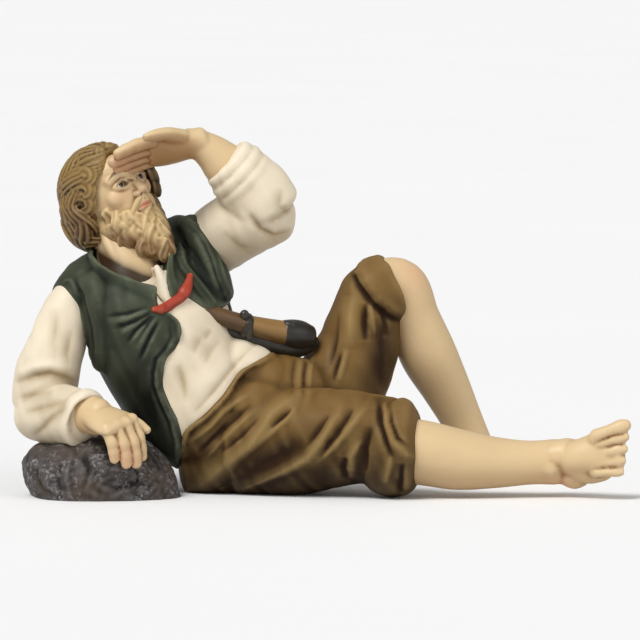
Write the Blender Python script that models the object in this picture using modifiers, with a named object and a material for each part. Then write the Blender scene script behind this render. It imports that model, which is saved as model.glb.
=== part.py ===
"""Nativity shepherd: a bearded man lying on the ground with one elbow on a rock,
one hand raised to shade his eyes, carved with the rock as a single piece of wood.

The design frame is in millimetres for a figure FIGURE_LENGTH long: +X runs from the rock to the
toes, +Y away from the side that the figure shows, +Z up, with the ground at zero. MM scales it.
"""

import bpy
import numpy as np

FIGURE_LENGTH = 0.124
MM = FIGURE_LENGTH / 124.0

BLOCK_VOXEL = 0.55 * MM
SMOOTHING_PASSES = 2
TARGET_TRIANGLES = 9400
GROUND_LEVEL = 0.8

# The head
HEAD_CENTRE = (-43.2, 3.0, 60.4)
HEAD_FACING = (0.62, -0.70, 0.34)
HEAD_UP = (-0.42, 0.04, 0.91)
HEAD_HEIGHT = 20.5
NECK_RADIUS = 5.4
HAIR_DEPTH = 1.5
VEST_THICKNESS = 0.9
BODY_AROUND = 150
BODY_ALONG = 130


def unit(vector):
    """Vectors at length one."""
    vector = np.asarray(vector, float)
    return vector / np.linalg.norm(vector, axis=-1, keepdims=True)


def spline(rows, count):
    """Rows read from a smooth curve through the given rows, at even steps of its chord length."""
    rows = np.asarray(rows, float)
    knots = np.concatenate([[0.0], np.cumsum(np.linalg.norm(np.diff(rows[:, :3], axis=0), axis=1))])
    slopes = np.gradient(rows, knots, axis=0)
    at = np.linspace(0.0, knots[-1], count)
    left = np.clip(np.searchsorted(knots, at, side="right") - 1, 0, len(rows) - 2)
    width = (knots[left + 1] - knots[left])[:, None]
    t = (at - knots[left])[:, None] / width
    start = (1 + 2 * t) * (1 - t) ** 2 * rows[left] + t * (1 - t) ** 2 * width * slopes[left]
    end = t * t * (3 - 2 * t) * rows[left + 1] + t * t * (t - 1) * width * slopes[left + 1]
    return start + end


def grid_faces(rings, around):
    """Quads of a grid of rings, each joined round to its own start."""
    ring, step = np.meshgrid(np.arange(rings - 1), np.arange(around), indexing="ij")
    after = (step + 1) % around
    quads = [ring * around + step, ring * around + after]
    quads += [(ring + 1) * around + after, (ring + 1) * around + step]
    return np.stack(quads, axis=-1).reshape(-1, 4)


def outward(points, faces):
    """The shell with its faces turned to point out, judged by its signed volume."""
    a, b, c, d = (points[faces[:, k]] for k in range(4))
    volume = np.einsum("ij,ij->i", a, np.cross(b, c) + np.cross(c, d)).sum()
    return points, faces if volume > 0 else faces[:, ::-1]


def loft(rows, side, around=28, along=40, relief=None, blunt=0.7):
    """Ellipses carried along a smooth path and closed with round ends.

    A row is x, y, z, half width, half depth. side is the way the width points, one vector or one
    for each row. relief(angle, share) is how far the surface stands out, in millimetres.
    """
    rows = np.asarray(rows, float)
    sides = np.broadcast_to(np.asarray(side, float), (len(rows), 3))
    made = spline(np.hstack([rows, sides]), along)
    centre, half, side = made[:, :3], made[:, 3:5], made[:, 5:8]
    ahead = unit(np.gradient(centre, axis=0))
    across = unit(side - np.einsum("ij,ij->i", side, ahead)[:, None] * ahead)
    deep = np.cross(across, ahead)
    turn = np.linspace(0.0, 2 * np.pi, around, endpoint=False)
    share = np.linspace(0.0, 1.0, along)
    angle, part = np.meshgrid(turn, share)
    out = np.zeros_like(angle) if relief is None else relief(angle, part)
    normal = np.stack([np.cos(angle) * half[:, 1:], np.sin(angle) * half[:, :1]], axis=-1)
    normal = normal / np.linalg.norm(normal, axis=-1, keepdims=True)
    flat = np.stack([np.cos(angle) * half[:, :1], np.sin(angle) * half[:, 1:]], axis=-1)
    flat = flat + normal * out[..., None]

    def ring(k, shrink, push):
        return centre[k] + push * ahead[k] + shrink * (flat[k] @ np.stack([across[k], deep[k]]))

    steps = np.radians([5.0, 25.0, 45.0, 65.0, 80.0])
    cap = blunt * half.min(axis=1)
    first = [ring(0, np.sin(s), -cap[0] * np.cos(s)) for s in steps]
    body = [ring(k, 1.0, 0.0) for k in range(along)]
    last = [ring(along - 1, np.sin(s), cap[-1] * np.cos(s)) for s in steps[::-1]]
    rings = first + body + last
    points = np.concatenate(rings)
    poles = np.array([centre[0] - cap[0] * ahead[0], centre[-1] + cap[-1] * ahead[-1]])
    count = len(points)
    faces = grid_faces(len(rings), around)
    step = np.arange(around)
    after = (step + 1) % around
    start_fan = np.stack([after, step, np.full(around, count), np.full(around, count)], axis=1)
    base = count - around
    far = np.full(around, count + 1)
    end_fan = np.stack([base + step, base + after, far, far], axis=1)
    return outward(np.vstack([points, poles]), np.vstack([faces, start_fan, end_fan]))


def ball(centre, half, axes=None, around=32, rings=20):
    """An ellipsoid: its centre, its half sizes and the three ways they point."""
    axes = np.eye(3) if axes is None else np.asarray(axes, float)
    along = axes[2]
    path = [np.asarray(centre) + along * half[2] * s for s in np.linspace(-0.98, 0.98, rings)]
    width = [np.sqrt(1 - s * s) for s in np.linspace(-0.98, 0.98, rings)]
    rows = [(*p, half[0] * w, half[1] * w) for p, w in zip(path, width)]
    return loft(rows, axes[0], around=around, along=rings * 2, blunt=0.3)


def head_frame():
    """The head's own left, facing and up directions, square to each other."""
    up = unit(HEAD_UP)
    facing = np.asarray(HEAD_FACING, float)
    facing = unit(facing - (facing @ up) * up)
    return np.stack([np.cross(up, facing), facing, up])


def in_head(left, facing, up):
    """A point given in the head's own directions, in millimetres from its centre."""
    return np.asarray(HEAD_CENTRE) + np.array([left, facing, up]) @ head_frame()


def on_head(turn, height, lift=0.0):
    """A point on the scalp, from its turn to the left of the face and its height, in degrees."""
    turn, height = np.radians(turn), np.radians(height)
    way = np.array([np.sin(turn) * np.cos(height), np.cos(turn) * np.cos(height), np.sin(height)])
    size = np.array([0.35, 0.45, 0.43]) * HEAD_HEIGHT + HAIR_DEPTH + lift
    return in_head(*(way * size))


def rock_shells():
    """The rock under his right arm: a low boulder, its squared left end and its swelling front."""
    boulder = loft(
        [(-55.8, -9.0, 6.4, 7.6, 5.0), (-51.6, -9.4, 6.0, 10.2, 6.0), (-45.0, -10.4, 6.0, 11.6, 6.4),
         (-37.0, -10.0, 5.4, 10.6, 5.6), (-31.4, -9.0, 4.8, 8.0, 4.7)], (0, 1, 0), along=32, blunt=0.35)
    crest = ball((-45.8, -9.5, 8.8), (7.0, 8.0, 4.8))
    swell = ball((-42.0, -15.6, 5.6), (9.5, 5.8, 5.2))
    left = ball((-54.4, -9.0, 7.0), (5.0, 8.0, 4.4))
    return [boulder, crest, swell, left]


TORSO_ROWS = [
    (-18.5, 0.6, 12.6, 11.5, 10.5), (-24.2, 0.2, 17.8, 13.0, 12.6), (-29.0, 0.4, 25.4, 13.8, 12.6),
    (-32.4, 1.2, 34.0, 15.8, 12.4), (-34.4, 2.2, 40.0, 15.8, 10.8), (-36.4, 3.2, 44.2, 12.4, 8.4),
    (-37.4, 3.8, 46.4, 8.4, 6.6)]
TORSO_SIDES = [
    (0.25, 0.95, 0.15), (0.32, 0.90, 0.20), (0.45, 0.82, 0.25), (0.60, 0.74, 0.24),
    (0.68, 0.68, 0.24), (0.72, 0.64, 0.24), (0.74, 0.62, 0.24)]
BELLY_CENTRE = (-17.6, 2.0, 25.2)
BELLY_HALF = (8.6, 9.5, 7.0)

# The front of the body that the vest leaves open, as X, Z seen from the facing side
VEST_OPENING = [
    (-33.2, 41.8), (-32.4, 38.8), (-30.4, 37.4), (-28.6, 35.3), (-28.3, 32.9), (-29.7, 30.5), (-31.4, 28.4),
    (-32.1, 25.6), (-32.1, 22.9), (-31.0, 19.8), (-29.0, 15.7), (-28.1, 11.6), (-28.2, 8.4), (-28.2, -6.0),
    (8.0, -6.0), (8.0, 38.0), (-18.0, 38.4), (-20.4, 37.8), (-23.2, 38.0), (-25.2, 39.4), (-26.8, 40.3),
    (-29.0, 40.8), (-29.6, 42.2), (-30.4, 44.0), (-30.8, 45.4), (-31.0, 47.0), (-31.4, 49.4), (-32.0, 58.0),
    (-46.2, 58.0), (-46.6, 48.4), (-43.4, 45.8), (-40.3, 43.9), (-36.2, 42.5)]
NECK_HOLE = [
    (-33.2, 41.8), (-36.2, 42.6), (-40.4, 44.0), (-43.4, 45.8), (-46.4, 48.4), (-47.0, 58.0), (-32.0, 58.0),
    (-31.4, 49.4), (-31.0, 47.0), (-30.8, 45.4), (-30.2, 43.6), (-29.4, 41.8), (-29.0, 40.2), (-31.4, 39.4)]
VEST_HEM_POINT = (-29.0, -9.0, 8.6)
VEST_HEM_WAY = (-0.911, 0.104, 0.40)


def inside_depth(x, z, outline):
    """How deep each point lies inside a closed outline, below zero outside it."""
    a = np.asarray(outline, float)
    b = np.roll(a, -1, axis=0)
    p = np.stack([x, z], axis=-1)[:, None, :]
    edge = b - a
    along = np.clip(np.einsum("nij,ij->ni", p - a, edge) / np.einsum("ij,ij->i", edge, edge), 0.0, 1.0)
    away = np.linalg.norm(p - a - along[..., None] * edge, axis=-1).min(axis=1)
    px, pz = p[..., 0], p[..., 1]
    rise = np.where(edge[:, 1] == 0.0, 1e-9, edge[:, 1])
    crossing = ((a[:, 1] > pz) != (b[:, 1] > pz)) & (px < (pz - a[:, 1]) * edge[:, 0] / rise + a[:, 0])
    return np.where(crossing.sum(axis=1) % 2 == 1, away, -away)


def ease(value, low, high):
    """A smooth rise from 0 at low to 1 at high."""
    t = np.clip((value - low) / (high - low), 0.0, 1.0)
    return t * t * (3.0 - 2.0 * t)


def shell_normals(points, faces):
    """The direction out of the shell at each of its points."""
    a, b, c, d = (points[faces[:, k]] for k in range(4))
    face = np.cross(c - a, d - b)
    normals = np.zeros_like(points)
    for k in range(4):
        np.add.at(normals, faces[:, k], face)
    return normals / np.maximum(np.linalg.norm(normals, axis=1, keepdims=True), 1e-9)


def body_shells(around=72, along=64):
    """The trunk under the clothes, and the belly where the shirt hangs out over the waist."""
    trunk = loft(TORSO_ROWS, TORSO_SIDES, around=around, along=along, blunt=0.3)
    return [trunk, ball(BELLY_CENTRE, BELLY_HALF, around=around // 2, rings=along // 2)]


def neck_hole(points, normals):
    """1 in the vest's hole for the neck and 0 outside it."""
    within = ease(inside_depth(points[:, 0], points[:, 2], NECK_HOLE), -0.2, 1.0)
    return within * ease(-normals[:, 1], -0.25, 0.05)


def torso_shells():
    """The shirt's body, sunk where the neck stands in it, and its strip at the throat."""
    shells = []
    for points, faces in body_shells():
        normals = shell_normals(points, faces)
        shells.append((points - 2.4 * normals * neck_hole(points, normals)[:, None], faces))
    strip = loft([(-34.6, -5.0, 46.0, 2.6, 1.4), (-32.6, -6.6, 43.6, 2.2, 1.4), (-31.0, -8.0, 41.2, 1.8, 1.3),
                  (-29.6, -9.0, 38.8, 2.2, 1.4)], (0.8, 0.3, 0.4), around=20, along=30)
    return shells + [strip]


def vest_cover(points, normals):
    """1 where the vest covers the body and 0 where it leaves it open."""
    front = ease(-normals[:, 1], -0.25, 0.05)
    opened = ease(inside_depth(points[:, 0], points[:, 2], VEST_OPENING), -0.15, 0.35)
    hem = (points - np.array(VEST_HEM_POINT)) @ unit(VEST_HEM_WAY)
    behind = ease(hem, -0.2, 0.3)
    return front * (1.0 - opened) + (1.0 - front) * behind


def vest_shells():
    """The vest: the body's own form, raised where the vest covers it and sunk where it does not."""
    shells = []
    for points, faces in body_shells(BODY_AROUND, BODY_ALONG)[:1] + yoke_shells():
        normals = shell_normals(points, faces)
        cover = vest_cover(points, normals)
        lift = VEST_THICKNESS * cover - 0.7 * (1.0 - cover) - 2.4 * neck_hole(points, normals)
        shells.append((points + normals * lift[:, None], faces))
    return shells + side_panel_shells() + collar_shells()


def side_panel_shells():
    """The vest's sides behind the armholes."""
    right = [(-47.6, -3.0, 43.4, 3.4, 3.8), (-45.6, -4.2, 41.0, 3.6, 6.1), (-44.2, -5.6, 37.4, 4.0, 6.4),
             (-43.4, -5.6, 33.4, 3.9, 6.2), (-42.9, -5.0, 29.6, 3.7, 5.6), (-42.8, -4.2, 27.2, 3.4, 4.4)]
    left = [(-27.0, 5.6, 54.6, 2.3, 3.4), (-25.6, 5.0, 52.0, 2.7, 4.2), (-23.8, 3.8, 49.0, 2.8, 5.4),
            (-22.2, 3.4, 45.4, 2.9, 6.2), (-20.9, 3.2, 42.2, 3.0, 6.3), (-20.2, 3.0, 40.0, 2.7, 5.2)]
    return [loft(rows, (1, 0, 0), around=40, along=50, blunt=0.6) for rows in (right, left)]


COLLAR = [(-33.4, -7.9, 41.7), (-36.6, -7.2, 42.6), (-40.6, -6.0, 44.2), (-43.9, -3.4, 46.2),
          (-46.2, 1.0, 48.4),
          (-45.6, 5.4, 50.4), (-42.4, 8.6, 51.8), (-37.6, 9.8, 52.6), (-33.4, 8.4, 52.6), (-30.8, 4.4, 51.0),
          (-30.2, -0.6, 48.2), (-30.0, -4.6, 45.2), (-29.4, -7.0, 42.6), (-28.4, -8.2, 40.8)]


def collar_shells():
    """The vest's standing collar round the neck."""
    path = np.asarray(COLLAR)
    down = unit((0.12, -0.12, -1.0))
    radial = path - np.array([-38.4, 1.6, 47.0])
    radial = unit(radial - (radial @ down)[:, None] * down)
    low = path + down * 1.2 + radial * 0.2
    rows = np.hstack([low, np.full((len(path), 1), 0.7), np.full((len(path), 1), 1.9)])
    return [loft(rows, radial, around=20, along=80, blunt=0.2)]


def yoke_shells():
    """The vest's cap over his right shoulder and its strap over the left."""
    right = loft([(-39.0, 1.5, 45.6, 4.6, 5.0), (-43.6, -0.4, 43.9, 4.8, 4.8), (-47.6, -1.6, 41.6, 5.2, 4.4),
                  (-50.0, -2.2, 39.8, 4.8, 3.4)], (0.5, 0.6, 0.6), along=40, around=48, blunt=0.8)
    left = loft([(-36.0, 4.6, 46.0, 5.0, 5.0), (-31.5, 7.4, 47.6, 6.0, 5.2), (-27.2, 10.0, 48.4, 7.2, 5.0)],
                (-0.3, 0.4, 0.85), along=40, around=48, blunt=0.6)
    return [right, left]


def sleeve_r_shells():
    """The right sleeve: upper arm hanging to the elbow on the rock, forearm coming forward."""
    upper = loft(
        [(-47.8, 0.6, 41.6, 3.0, 3.8), (-50.7, -2.7, 37.3, 5.0, 5.9), (-52.7, -4.4, 31.0, 5.7, 6.2),
         (-54.9, -4.2, 24.5, 6.5, 6.6), (-55.6, -3.8, 19.0, 6.4, 6.6)], (1.0, 0.0, 0.3), around=48)
    fore = loft(
        [(-56.0, -3.6, 17.3, 6.4, 6.3), (-53.4, -8.0, 17.0, 6.3, 6.1), (-50.4, -11.8, 17.0, 6.0, 5.7),
         (-48.2, -14.2, 16.8, 5.6, 5.3)], (0.0, 0.0, 1.0), around=48, blunt=0.5)
    return [upper, fore]


def cuff_r_shells():
    """The turned-back cuff of the right sleeve, an open ring about the wrist."""
    centre, out = np.array([-47.4, -15.0, 16.8]), unit((0.62, -0.70, -0.28))
    across = unit(np.cross(out, (0.0, 0.0, 1.0)))
    tall = np.cross(across, out)
    turn = np.linspace(0.0, 2 * np.pi, 25)
    rows = [(*(centre + across * 4.9 * np.cos(t) + tall * 5.2 * np.sin(t)), 0.85, 1.5) for t in turn]
    sides = [across * np.cos(t) + tall * np.sin(t) for t in turn]
    return [loft(rows, sides, around=16, along=60, blunt=0.1)]


def sleeve_l_shells():
    """The left sleeve: upper arm lifted forward to the elbow, forearm back towards the brow."""
    upper = loft(
        [(-28.0, 12.0, 46.6, 6.0, 6.2), (-22.8, 8.8, 49.9, 6.7, 6.8), (-17.0, 4.0, 53.8, 7.1, 7.2),
         (-11.2, 0.2, 57.2, 7.3, 7.2)], (-0.5, 0.0, 0.86), around=48)
    fore = loft(
        [(-11.2, -0.2, 57.8, 7.2, 7.1), (-13.4, -0.9, 61.2, 7.0, 6.8), (-16.2, -1.4, 64.6, 6.2, 6.0)],
        (0.7, 0.0, 0.7), along=24, blunt=0.4, around=48)
    return [upper, fore]


def cuff_l_shells():
    """The rolled cuff of the left sleeve, in turns one over another."""
    turns = [((-15.4, -1.2, 63.4), 6.7), ((-17.0, -1.5, 65.0), 6.5), ((-18.5, -1.8, 66.5), 5.8)]
    ahead = unit((-0.72, -0.15, 0.68))
    shells = []
    for centre, radius in turns:
        rows = [(*(np.asarray(centre) + ahead * s), radius * w, radius * w)
                for s, w in ((-1.0, 0.90), (-0.5, 0.98), (0.0, 1.0), (0.5, 0.98), (1.0, 0.90))]
        shells.append(loft(rows, (0.7, 0.0, 0.7), along=12, blunt=0.1))
    return shells


def hand_shells(wrist, ahead, back, length, spread, bends, thumb_side, thumb_bend):
    """A hand: palm, four fingers that bend at two joints, and a thumb.

    ahead runs from the wrist to the knuckles and back is the way the back of the hand faces.
    """
    ahead = unit(ahead)
    back = unit(np.asarray(back, float) - (np.asarray(back) @ ahead) * ahead)
    side = np.cross(ahead, back) * thumb_side
    palm_length, wrist = 0.50 * length, np.asarray(wrist, float)
    rows = []
    for share, half, thick in ((-0.25, 0.19, 0.17), (0.0, 0.20, 0.16), (0.45, 0.27, 0.15),
                               (0.85, 0.30, 0.115), (1.0, 0.28, 0.10)):
        rows.append((*(wrist + ahead * share * palm_length), half * length, thick * length))
    shells = [loft(rows, side, around=24, along=24, blunt=0.5)]
    for k in range(4):
        across = (1.5 - k) / 1.5
        reach = (0.46, 0.50, 0.47, 0.38)[k] * length
        radius = (0.076, 0.079, 0.075, 0.066)[k] * length
        root = wrist + ahead * palm_length * (0.92, 0.97, 0.93, 0.86)[k] + side * across * 0.21 * length
        way = unit(ahead + side * across * spread)
        points, bend = [root], 0.0
        for joint, segment in enumerate((0.46, 0.30, 0.24)):
            bend += bends[joint]
            turned = way * np.cos(bend) - back * np.sin(bend)
            points.append(points[-1] + turned * segment * reach)
        rows = [(*p, radius * w, radius * w) for p, w in zip(points, (1.05, 1.0, 0.92, 0.74))]
        shells.append(loft(rows, side, around=12, along=16, blunt=0.8))
    root = wrist + ahead * palm_length * 0.25 + side * 0.17 * length
    way = unit(ahead * 0.75 + side * 0.65 - back * thumb_bend)
    way_end = unit(ahead * 0.95 + side * 0.2 - back * thumb_bend)
    middle = root + way * 0.27 * length
    rows = [(*root, 0.10 * length, 0.10 * length), (*middle, 0.078 * length, 0.078 * length),
            (*(middle + way_end * 0.14 * length), 0.078 * length, 0.07 * length),
            (*(middle + way_end * 0.24 * length), 0.055 * length, 0.05 * length)]
    shells.append(loft(rows, side, around=12, along=16, blunt=0.8))
    return shells


def hand_r_shells():
    """The right hand, laid over the top of the rock with its fingers down the front."""
    arm = loft([(-49.5, -12.6, 17.4, 4.2, 3.8), (-46.2, -15.9, 17.6, 3.9, 3.3),
                (-44.0, -18.0, 17.2, 3.7, 2.8)],
               (0.1, 0.2, 1), along=16)
    hand = hand_shells((-45.2, -17.0, 17.5), (0.64, -0.72, -0.25), (0.01, -0.32, 0.94), 15.5, 0.0,
                       np.radians([45.0, 20.0, 6.0]), -1.0, 0.10)
    return [arm] + hand


def hand_l_shells():
    """The left forearm and the hand that shades the eyes."""
    arm = loft(
        [(-14.8, -1.0, 62.4, 4.6, 4.4), (-19.4, -1.8, 66.4, 4.6, 4.3), (-22.2, -2.4, 69.0, 3.7, 3.4),
         (-24.6, -2.9, 70.4, 3.1, 2.8), (-27.0, -3.2, 70.8, 3.1, 2.5)], (0.6, 0.2, 0.7))
    hand = hand_shells((-26.0, -3.2, 70.7), (-0.965, -0.14, -0.17), (0.0, 0.62, 0.78), 17.0, 0.01,
                       np.radians([8.0, 8.0, 6.0]), -1.0, 0.15)
    return [arm] + hand


def neck_shells():
    """The neck, leaning back from the collar to the jaw."""
    top = in_head(0.0, -0.08 * HEAD_HEIGHT, -0.25 * HEAD_HEIGHT)
    rows = [(-37.4, -0.6, 40.6, NECK_RADIUS * 1.45, NECK_RADIUS * 1.25),
            (-38.6, 0.2, 45.0, NECK_RADIUS * 1.24, NECK_RADIUS * 1.15),
            (-40.2, 1.6, 50.4, NECK_RADIUS, NECK_RADIUS), (*top, NECK_RADIUS, NECK_RADIUS)]
    return [loft(rows, head_frame()[0], along=24, around=40)]


def skull_shells():
    """The head, in shares of its height: skull, jaw, brow, nose, cheeks, lips and chin."""
    axes, size = head_frame(), HEAD_HEIGHT

    def row(left, facing, up, half, deep):
        return (*in_head(left * size, facing * size, up * size), half * size, deep * size)

    skull = ball(in_head(0, 0, 0), (0.35 * size, 0.45 * size, 0.43 * size), axes)
    jaw = loft([row(0, 0.13, 0.14, 0.29, 0.305), row(0, 0.17, -0.04, 0.285, 0.285),
                row(0, 0.19, -0.20, 0.25, 0.26),
                row(0, 0.22, -0.35, 0.19, 0.20), row(0, 0.26, -0.46, 0.12, 0.13)], axes[0], around=40,
                along=30)
    brow = loft([row(-0.23, 0.33, 0.09, 0.05, 0.045), row(-0.12, 0.405, 0.115, 0.05, 0.045),
                 row(0, 0.425, 0.10, 0.045, 0.04), row(0.12, 0.405, 0.115, 0.05, 0.045),
                 row(0.23, 0.33, 0.09, 0.05, 0.045)], axes[2], around=16, along=30)
    nose = loft([row(0, 0.42, 0.06, 0.032, 0.03), row(0, 0.465, -0.03, 0.04, 0.035),
                 row(0, 0.505, -0.105, 0.05, 0.045)], axes[0], around=16, along=16)
    parts = [skull, jaw, brow, nose]
    for way in (-1.0, 1.0):
        parts.append(ball(in_head(way * 0.05 * size, 0.455 * size, -0.125 * size),
                          (0.04 * size, 0.045 * size, 0.03 * size), axes, 16, 10))
        parts.append(ball(in_head(way * 0.17 * size, 0.325 * size, -0.07 * size),
                          (0.11 * size, 0.09 * size, 0.09 * size), axes, 20, 12))
        parts.append(ball(in_head(way * 0.125 * size, 0.375 * size, 0.01 * size),
                          (0.07 * size, 0.06 * size, 0.06 * size), axes, 20, 12))
    for up, out, thick in ((-0.235, 0.445, 0.020), (-0.272, 0.437, 0.024)):
        parts.append(loft([row(-0.10, out - 0.035, up, thick * 0.5, thick * 0.6),
                           row(-0.05, out, up, thick, thick),
                           row(0, out + 0.008, up, thick, thick), row(0.05, out, up, thick, thick),
                           row(0.10, out - 0.035, up, thick * 0.5, thick * 0.6)], axes[2], 12, 20))
    parts.append(ball(in_head(0, 0.37 * size, -0.42 * size), (0.10 * size, 0.08 * size, 0.09 * size),
                      axes, 20, 12))
    return parts


def lock(points, thick, flat=0.7, along=18, around=10):
    """A lock of hair carried through points given as positions, thickest at its middle."""
    points = np.asarray(points, float)
    share = np.linspace(0.0, 1.0, len(points))
    swell = 0.35 + 0.65 * np.sin(np.pi * (0.12 + 0.80 * share)) ** 0.8
    out = unit(points - in_head(0, 0, 0))
    ahead = unit(np.gradient(points, axis=0))
    side = unit(np.cross(ahead, out))
    rows = [(*p, thick * s, thick * flat * s) for p, s in zip(points, swell)]
    return loft(rows, side, around=around, along=along, blunt=0.8)


def face_window(points):
    """1 over the face and 0 under the hair, from each point's direction out of the head."""
    local = (points - in_head(0, 0, 0)) @ head_frame().T / (np.array([0.35, 0.45, 0.43]) * HEAD_HEIGHT)
    local = local / np.linalg.norm(local, axis=1, keepdims=True)
    turn = np.degrees(np.abs(np.arctan2(local[:, 0], local[:, 1])))
    height = np.degrees(np.arcsin(np.clip(local[:, 2], -1, 1)))
    side = 78.0 - 22.0 * ease(height, 5.0, 40.0) - 70.0 * ease(height, 34.0, 56.0)
    side = side + 40.0 * ease(-height, 20.0, 60.0)
    return ease(side - turn, -3.0, 3.0)


def hair_cap_shells():
    """The mass of the hair, drawn in under the skin where the face shows."""
    axes = head_frame()
    size = np.array([0.35, 0.45, 0.43]) * HEAD_HEIGHT + HAIR_DEPTH * 0.8
    shells = []
    for points, faces in [ball(in_head(0, 0, 0), size, axes, around=90, rings=50)]:
        window = face_window(points)[:, None]
        centre = in_head(0, 0, 0)
        shells.append((centre + (points - centre) * (1.0 - 0.30 * window), faces))
    shells.append(ball(in_head(0, -0.24 * HEAD_HEIGHT, -0.25 * HEAD_HEIGHT),
                       np.array([0.29, 0.22, 0.24]) * HEAD_HEIGHT, axes))
    return shells


def hair_lock_shells():
    """Locks combed back from the brow, curls over the ears and a thick roll at the nape."""
    rng = np.random.default_rng(11)
    shells = []
    for side in (-1.0, 1.0):
        for k in range(10):
            start, height = 6.0 + 8.0 * k, 54.0 - 4.4 * k
            wave = rng.uniform(3.0, 6.0)
            spots = []
            for s in np.linspace(0.0, 1.0, 10):
                turn = side * (start + (158.0 - 0.62 * start) * s)
                up = height + 26.0 * np.sin(np.pi * s) * (1.0 - 0.08 * k) - (26.0 + 3.0 * k) * s
                up += wave * np.sin(6.5 * s + 1.7 * k)
                spots.append(on_head(turn, up, -0.7 + 0.4 * np.sin(7.0 * s + 2 * k)))
            shells.append(lock(spots, rng.uniform(1.15, 1.5), along=30))
        for k in range(6):
            turn0, curve = 84.0 + 12.0 * k, 1.3 * k
            spots = []
            for s in np.linspace(0.0, 1.0, 9):
                turn = side * (turn0 + 9.0 * np.sin(6.0 * s + curve) + 10.0 * s)
                up = 24.0 - 2.0 * k - (62.0 + 2.0 * k) * s
                spots.append(on_head(turn, up, -0.2 + 0.9 * np.sin(3.1 * s)))
            shells.append(lock(spots, rng.uniform(1.3, 1.7), along=28))
        for k in range(3):
            spots = []
            for s in np.linspace(0.0, 1.0, 8):
                swirl = 4.6 * s + 0.5 * k
                turn = side * (68.0 + 7.0 * k + (11.0 - 6.0 * s) * np.cos(swirl))
                up = 26.0 - 13.0 * k + (11.0 - 6.0 * s) * np.sin(swirl)
                spots.append(on_head(turn, up, -0.5 + 0.8 * s))
            shells.append(lock(spots, rng.uniform(0.95, 1.2), along=28))
    for k in range(10):
        turn0 = 100.0 + 17.5 * k
        spots = []
        for s in np.linspace(0.0, 1.0, 9):
            curl = 8.0 * s + 0.9 * k
            spots.append(on_head(turn0 + 9.0 * np.sin(curl), -12.0 - 46.0 * s + 4.0 * np.cos(curl),
                                 0.1 + 1.5 * np.sin(np.pi * s)))
        shells.append(lock(spots, rng.uniform(1.6, 2.1), along=30))
    for k in range(4):
        spots = [on_head(-26.0 + 15.0 * k + 10.0 * s * (1 if k % 2 else -1), 50.0 + 12.0 * s - 16.0 * s * s,
                         -0.6 + 1.0 * np.sin(np.pi * s)) for s in np.linspace(0.0, 1.0, 6)]
        shells.append(lock(spots, 1.0))
    return shells


def beard_shells():
    """The beard: a full mass under the jaw and wavy locks over it, with a moustache."""
    axes, size = head_frame(), HEAD_HEIGHT
    rng = np.random.default_rng(5)

    def at(left, facing, up):
        return in_head(left * size, facing * size, up * size)

    edge = [(0.31, 0.02, -0.20, 0.08, 0.05), (0.25, 0.16, -0.40, 0.12, 0.07), (0.10, 0.31, -0.58, 0.15, 0.10)]
    rows = [(*at(-left, facing, up), wide * size, deep * size) for left, facing, up, wide, deep in edge]
    rows.append((*at(0.0, 0.35, -0.62), 0.17 * size, 0.12 * size))
    rows += [(*at(left, facing, up), wide * size, deep * size) for left, facing, up, wide, deep in edge[::-1]]
    mass = loft(rows, axes[2], around=24, along=40)
    front = loft([(*at(0, 0.37, -0.34), 0.10 * size, 0.06 * size),
                  (*at(0, 0.385, -0.50), 0.17 * size, 0.12 * size),
                  (*at(0, 0.37, -0.66), 0.15 * size, 0.12 * size),
                  (*at(0, 0.35, -0.80), 0.08 * size, 0.07 * size)],
                 axes[0], around=24, along=20)
    shells = [mass, front]
    layers = ((12, -0.32, 0.28, 0.015), (12, -0.44, 0.34, 0.03), (9, -0.56, 0.32, 0.03))
    for row, (count, top, drop, out) in enumerate(layers):
        for k in range(count):
            share = (k + 0.5) / count * 2.0 - 1.0
            share = share * (1.0, 0.95, 0.62)[row]
            around = share * 1.45
            spots = []
            for s in np.linspace(0.0, 1.0, 7):
                wide = 0.30 - 0.10 * s - 0.04 * row
                left = wide * np.sin(around) + 0.030 * np.sin(7.0 * s + 2.1 * k)
                facing = 0.10 + (0.30 + 0.02 * s) * np.cos(around) + out
                up = top - drop * s + 0.14 * (1.0 - np.cos(around)) + 0.012 * np.cos(9.0 * s + k)
                spots.append(at(left, facing, up))
            shells.append(lock(spots, rng.uniform(0.95, 1.3), flat=0.8))
    for way in (-1.0, 1.0):
        for k in range(3):
            spots = [at(way * (0.02 + 0.15 * s + 0.01 * k), 0.475 - 0.10 * s * s - 0.01 * k,
                        -0.175 - 0.012 * k - 0.13 * s * s - 0.02 * k * s) for s in np.linspace(0.0, 1.0, 6)]
            shells.append(lock(spots, 0.62, flat=0.8))
    return shells


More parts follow.
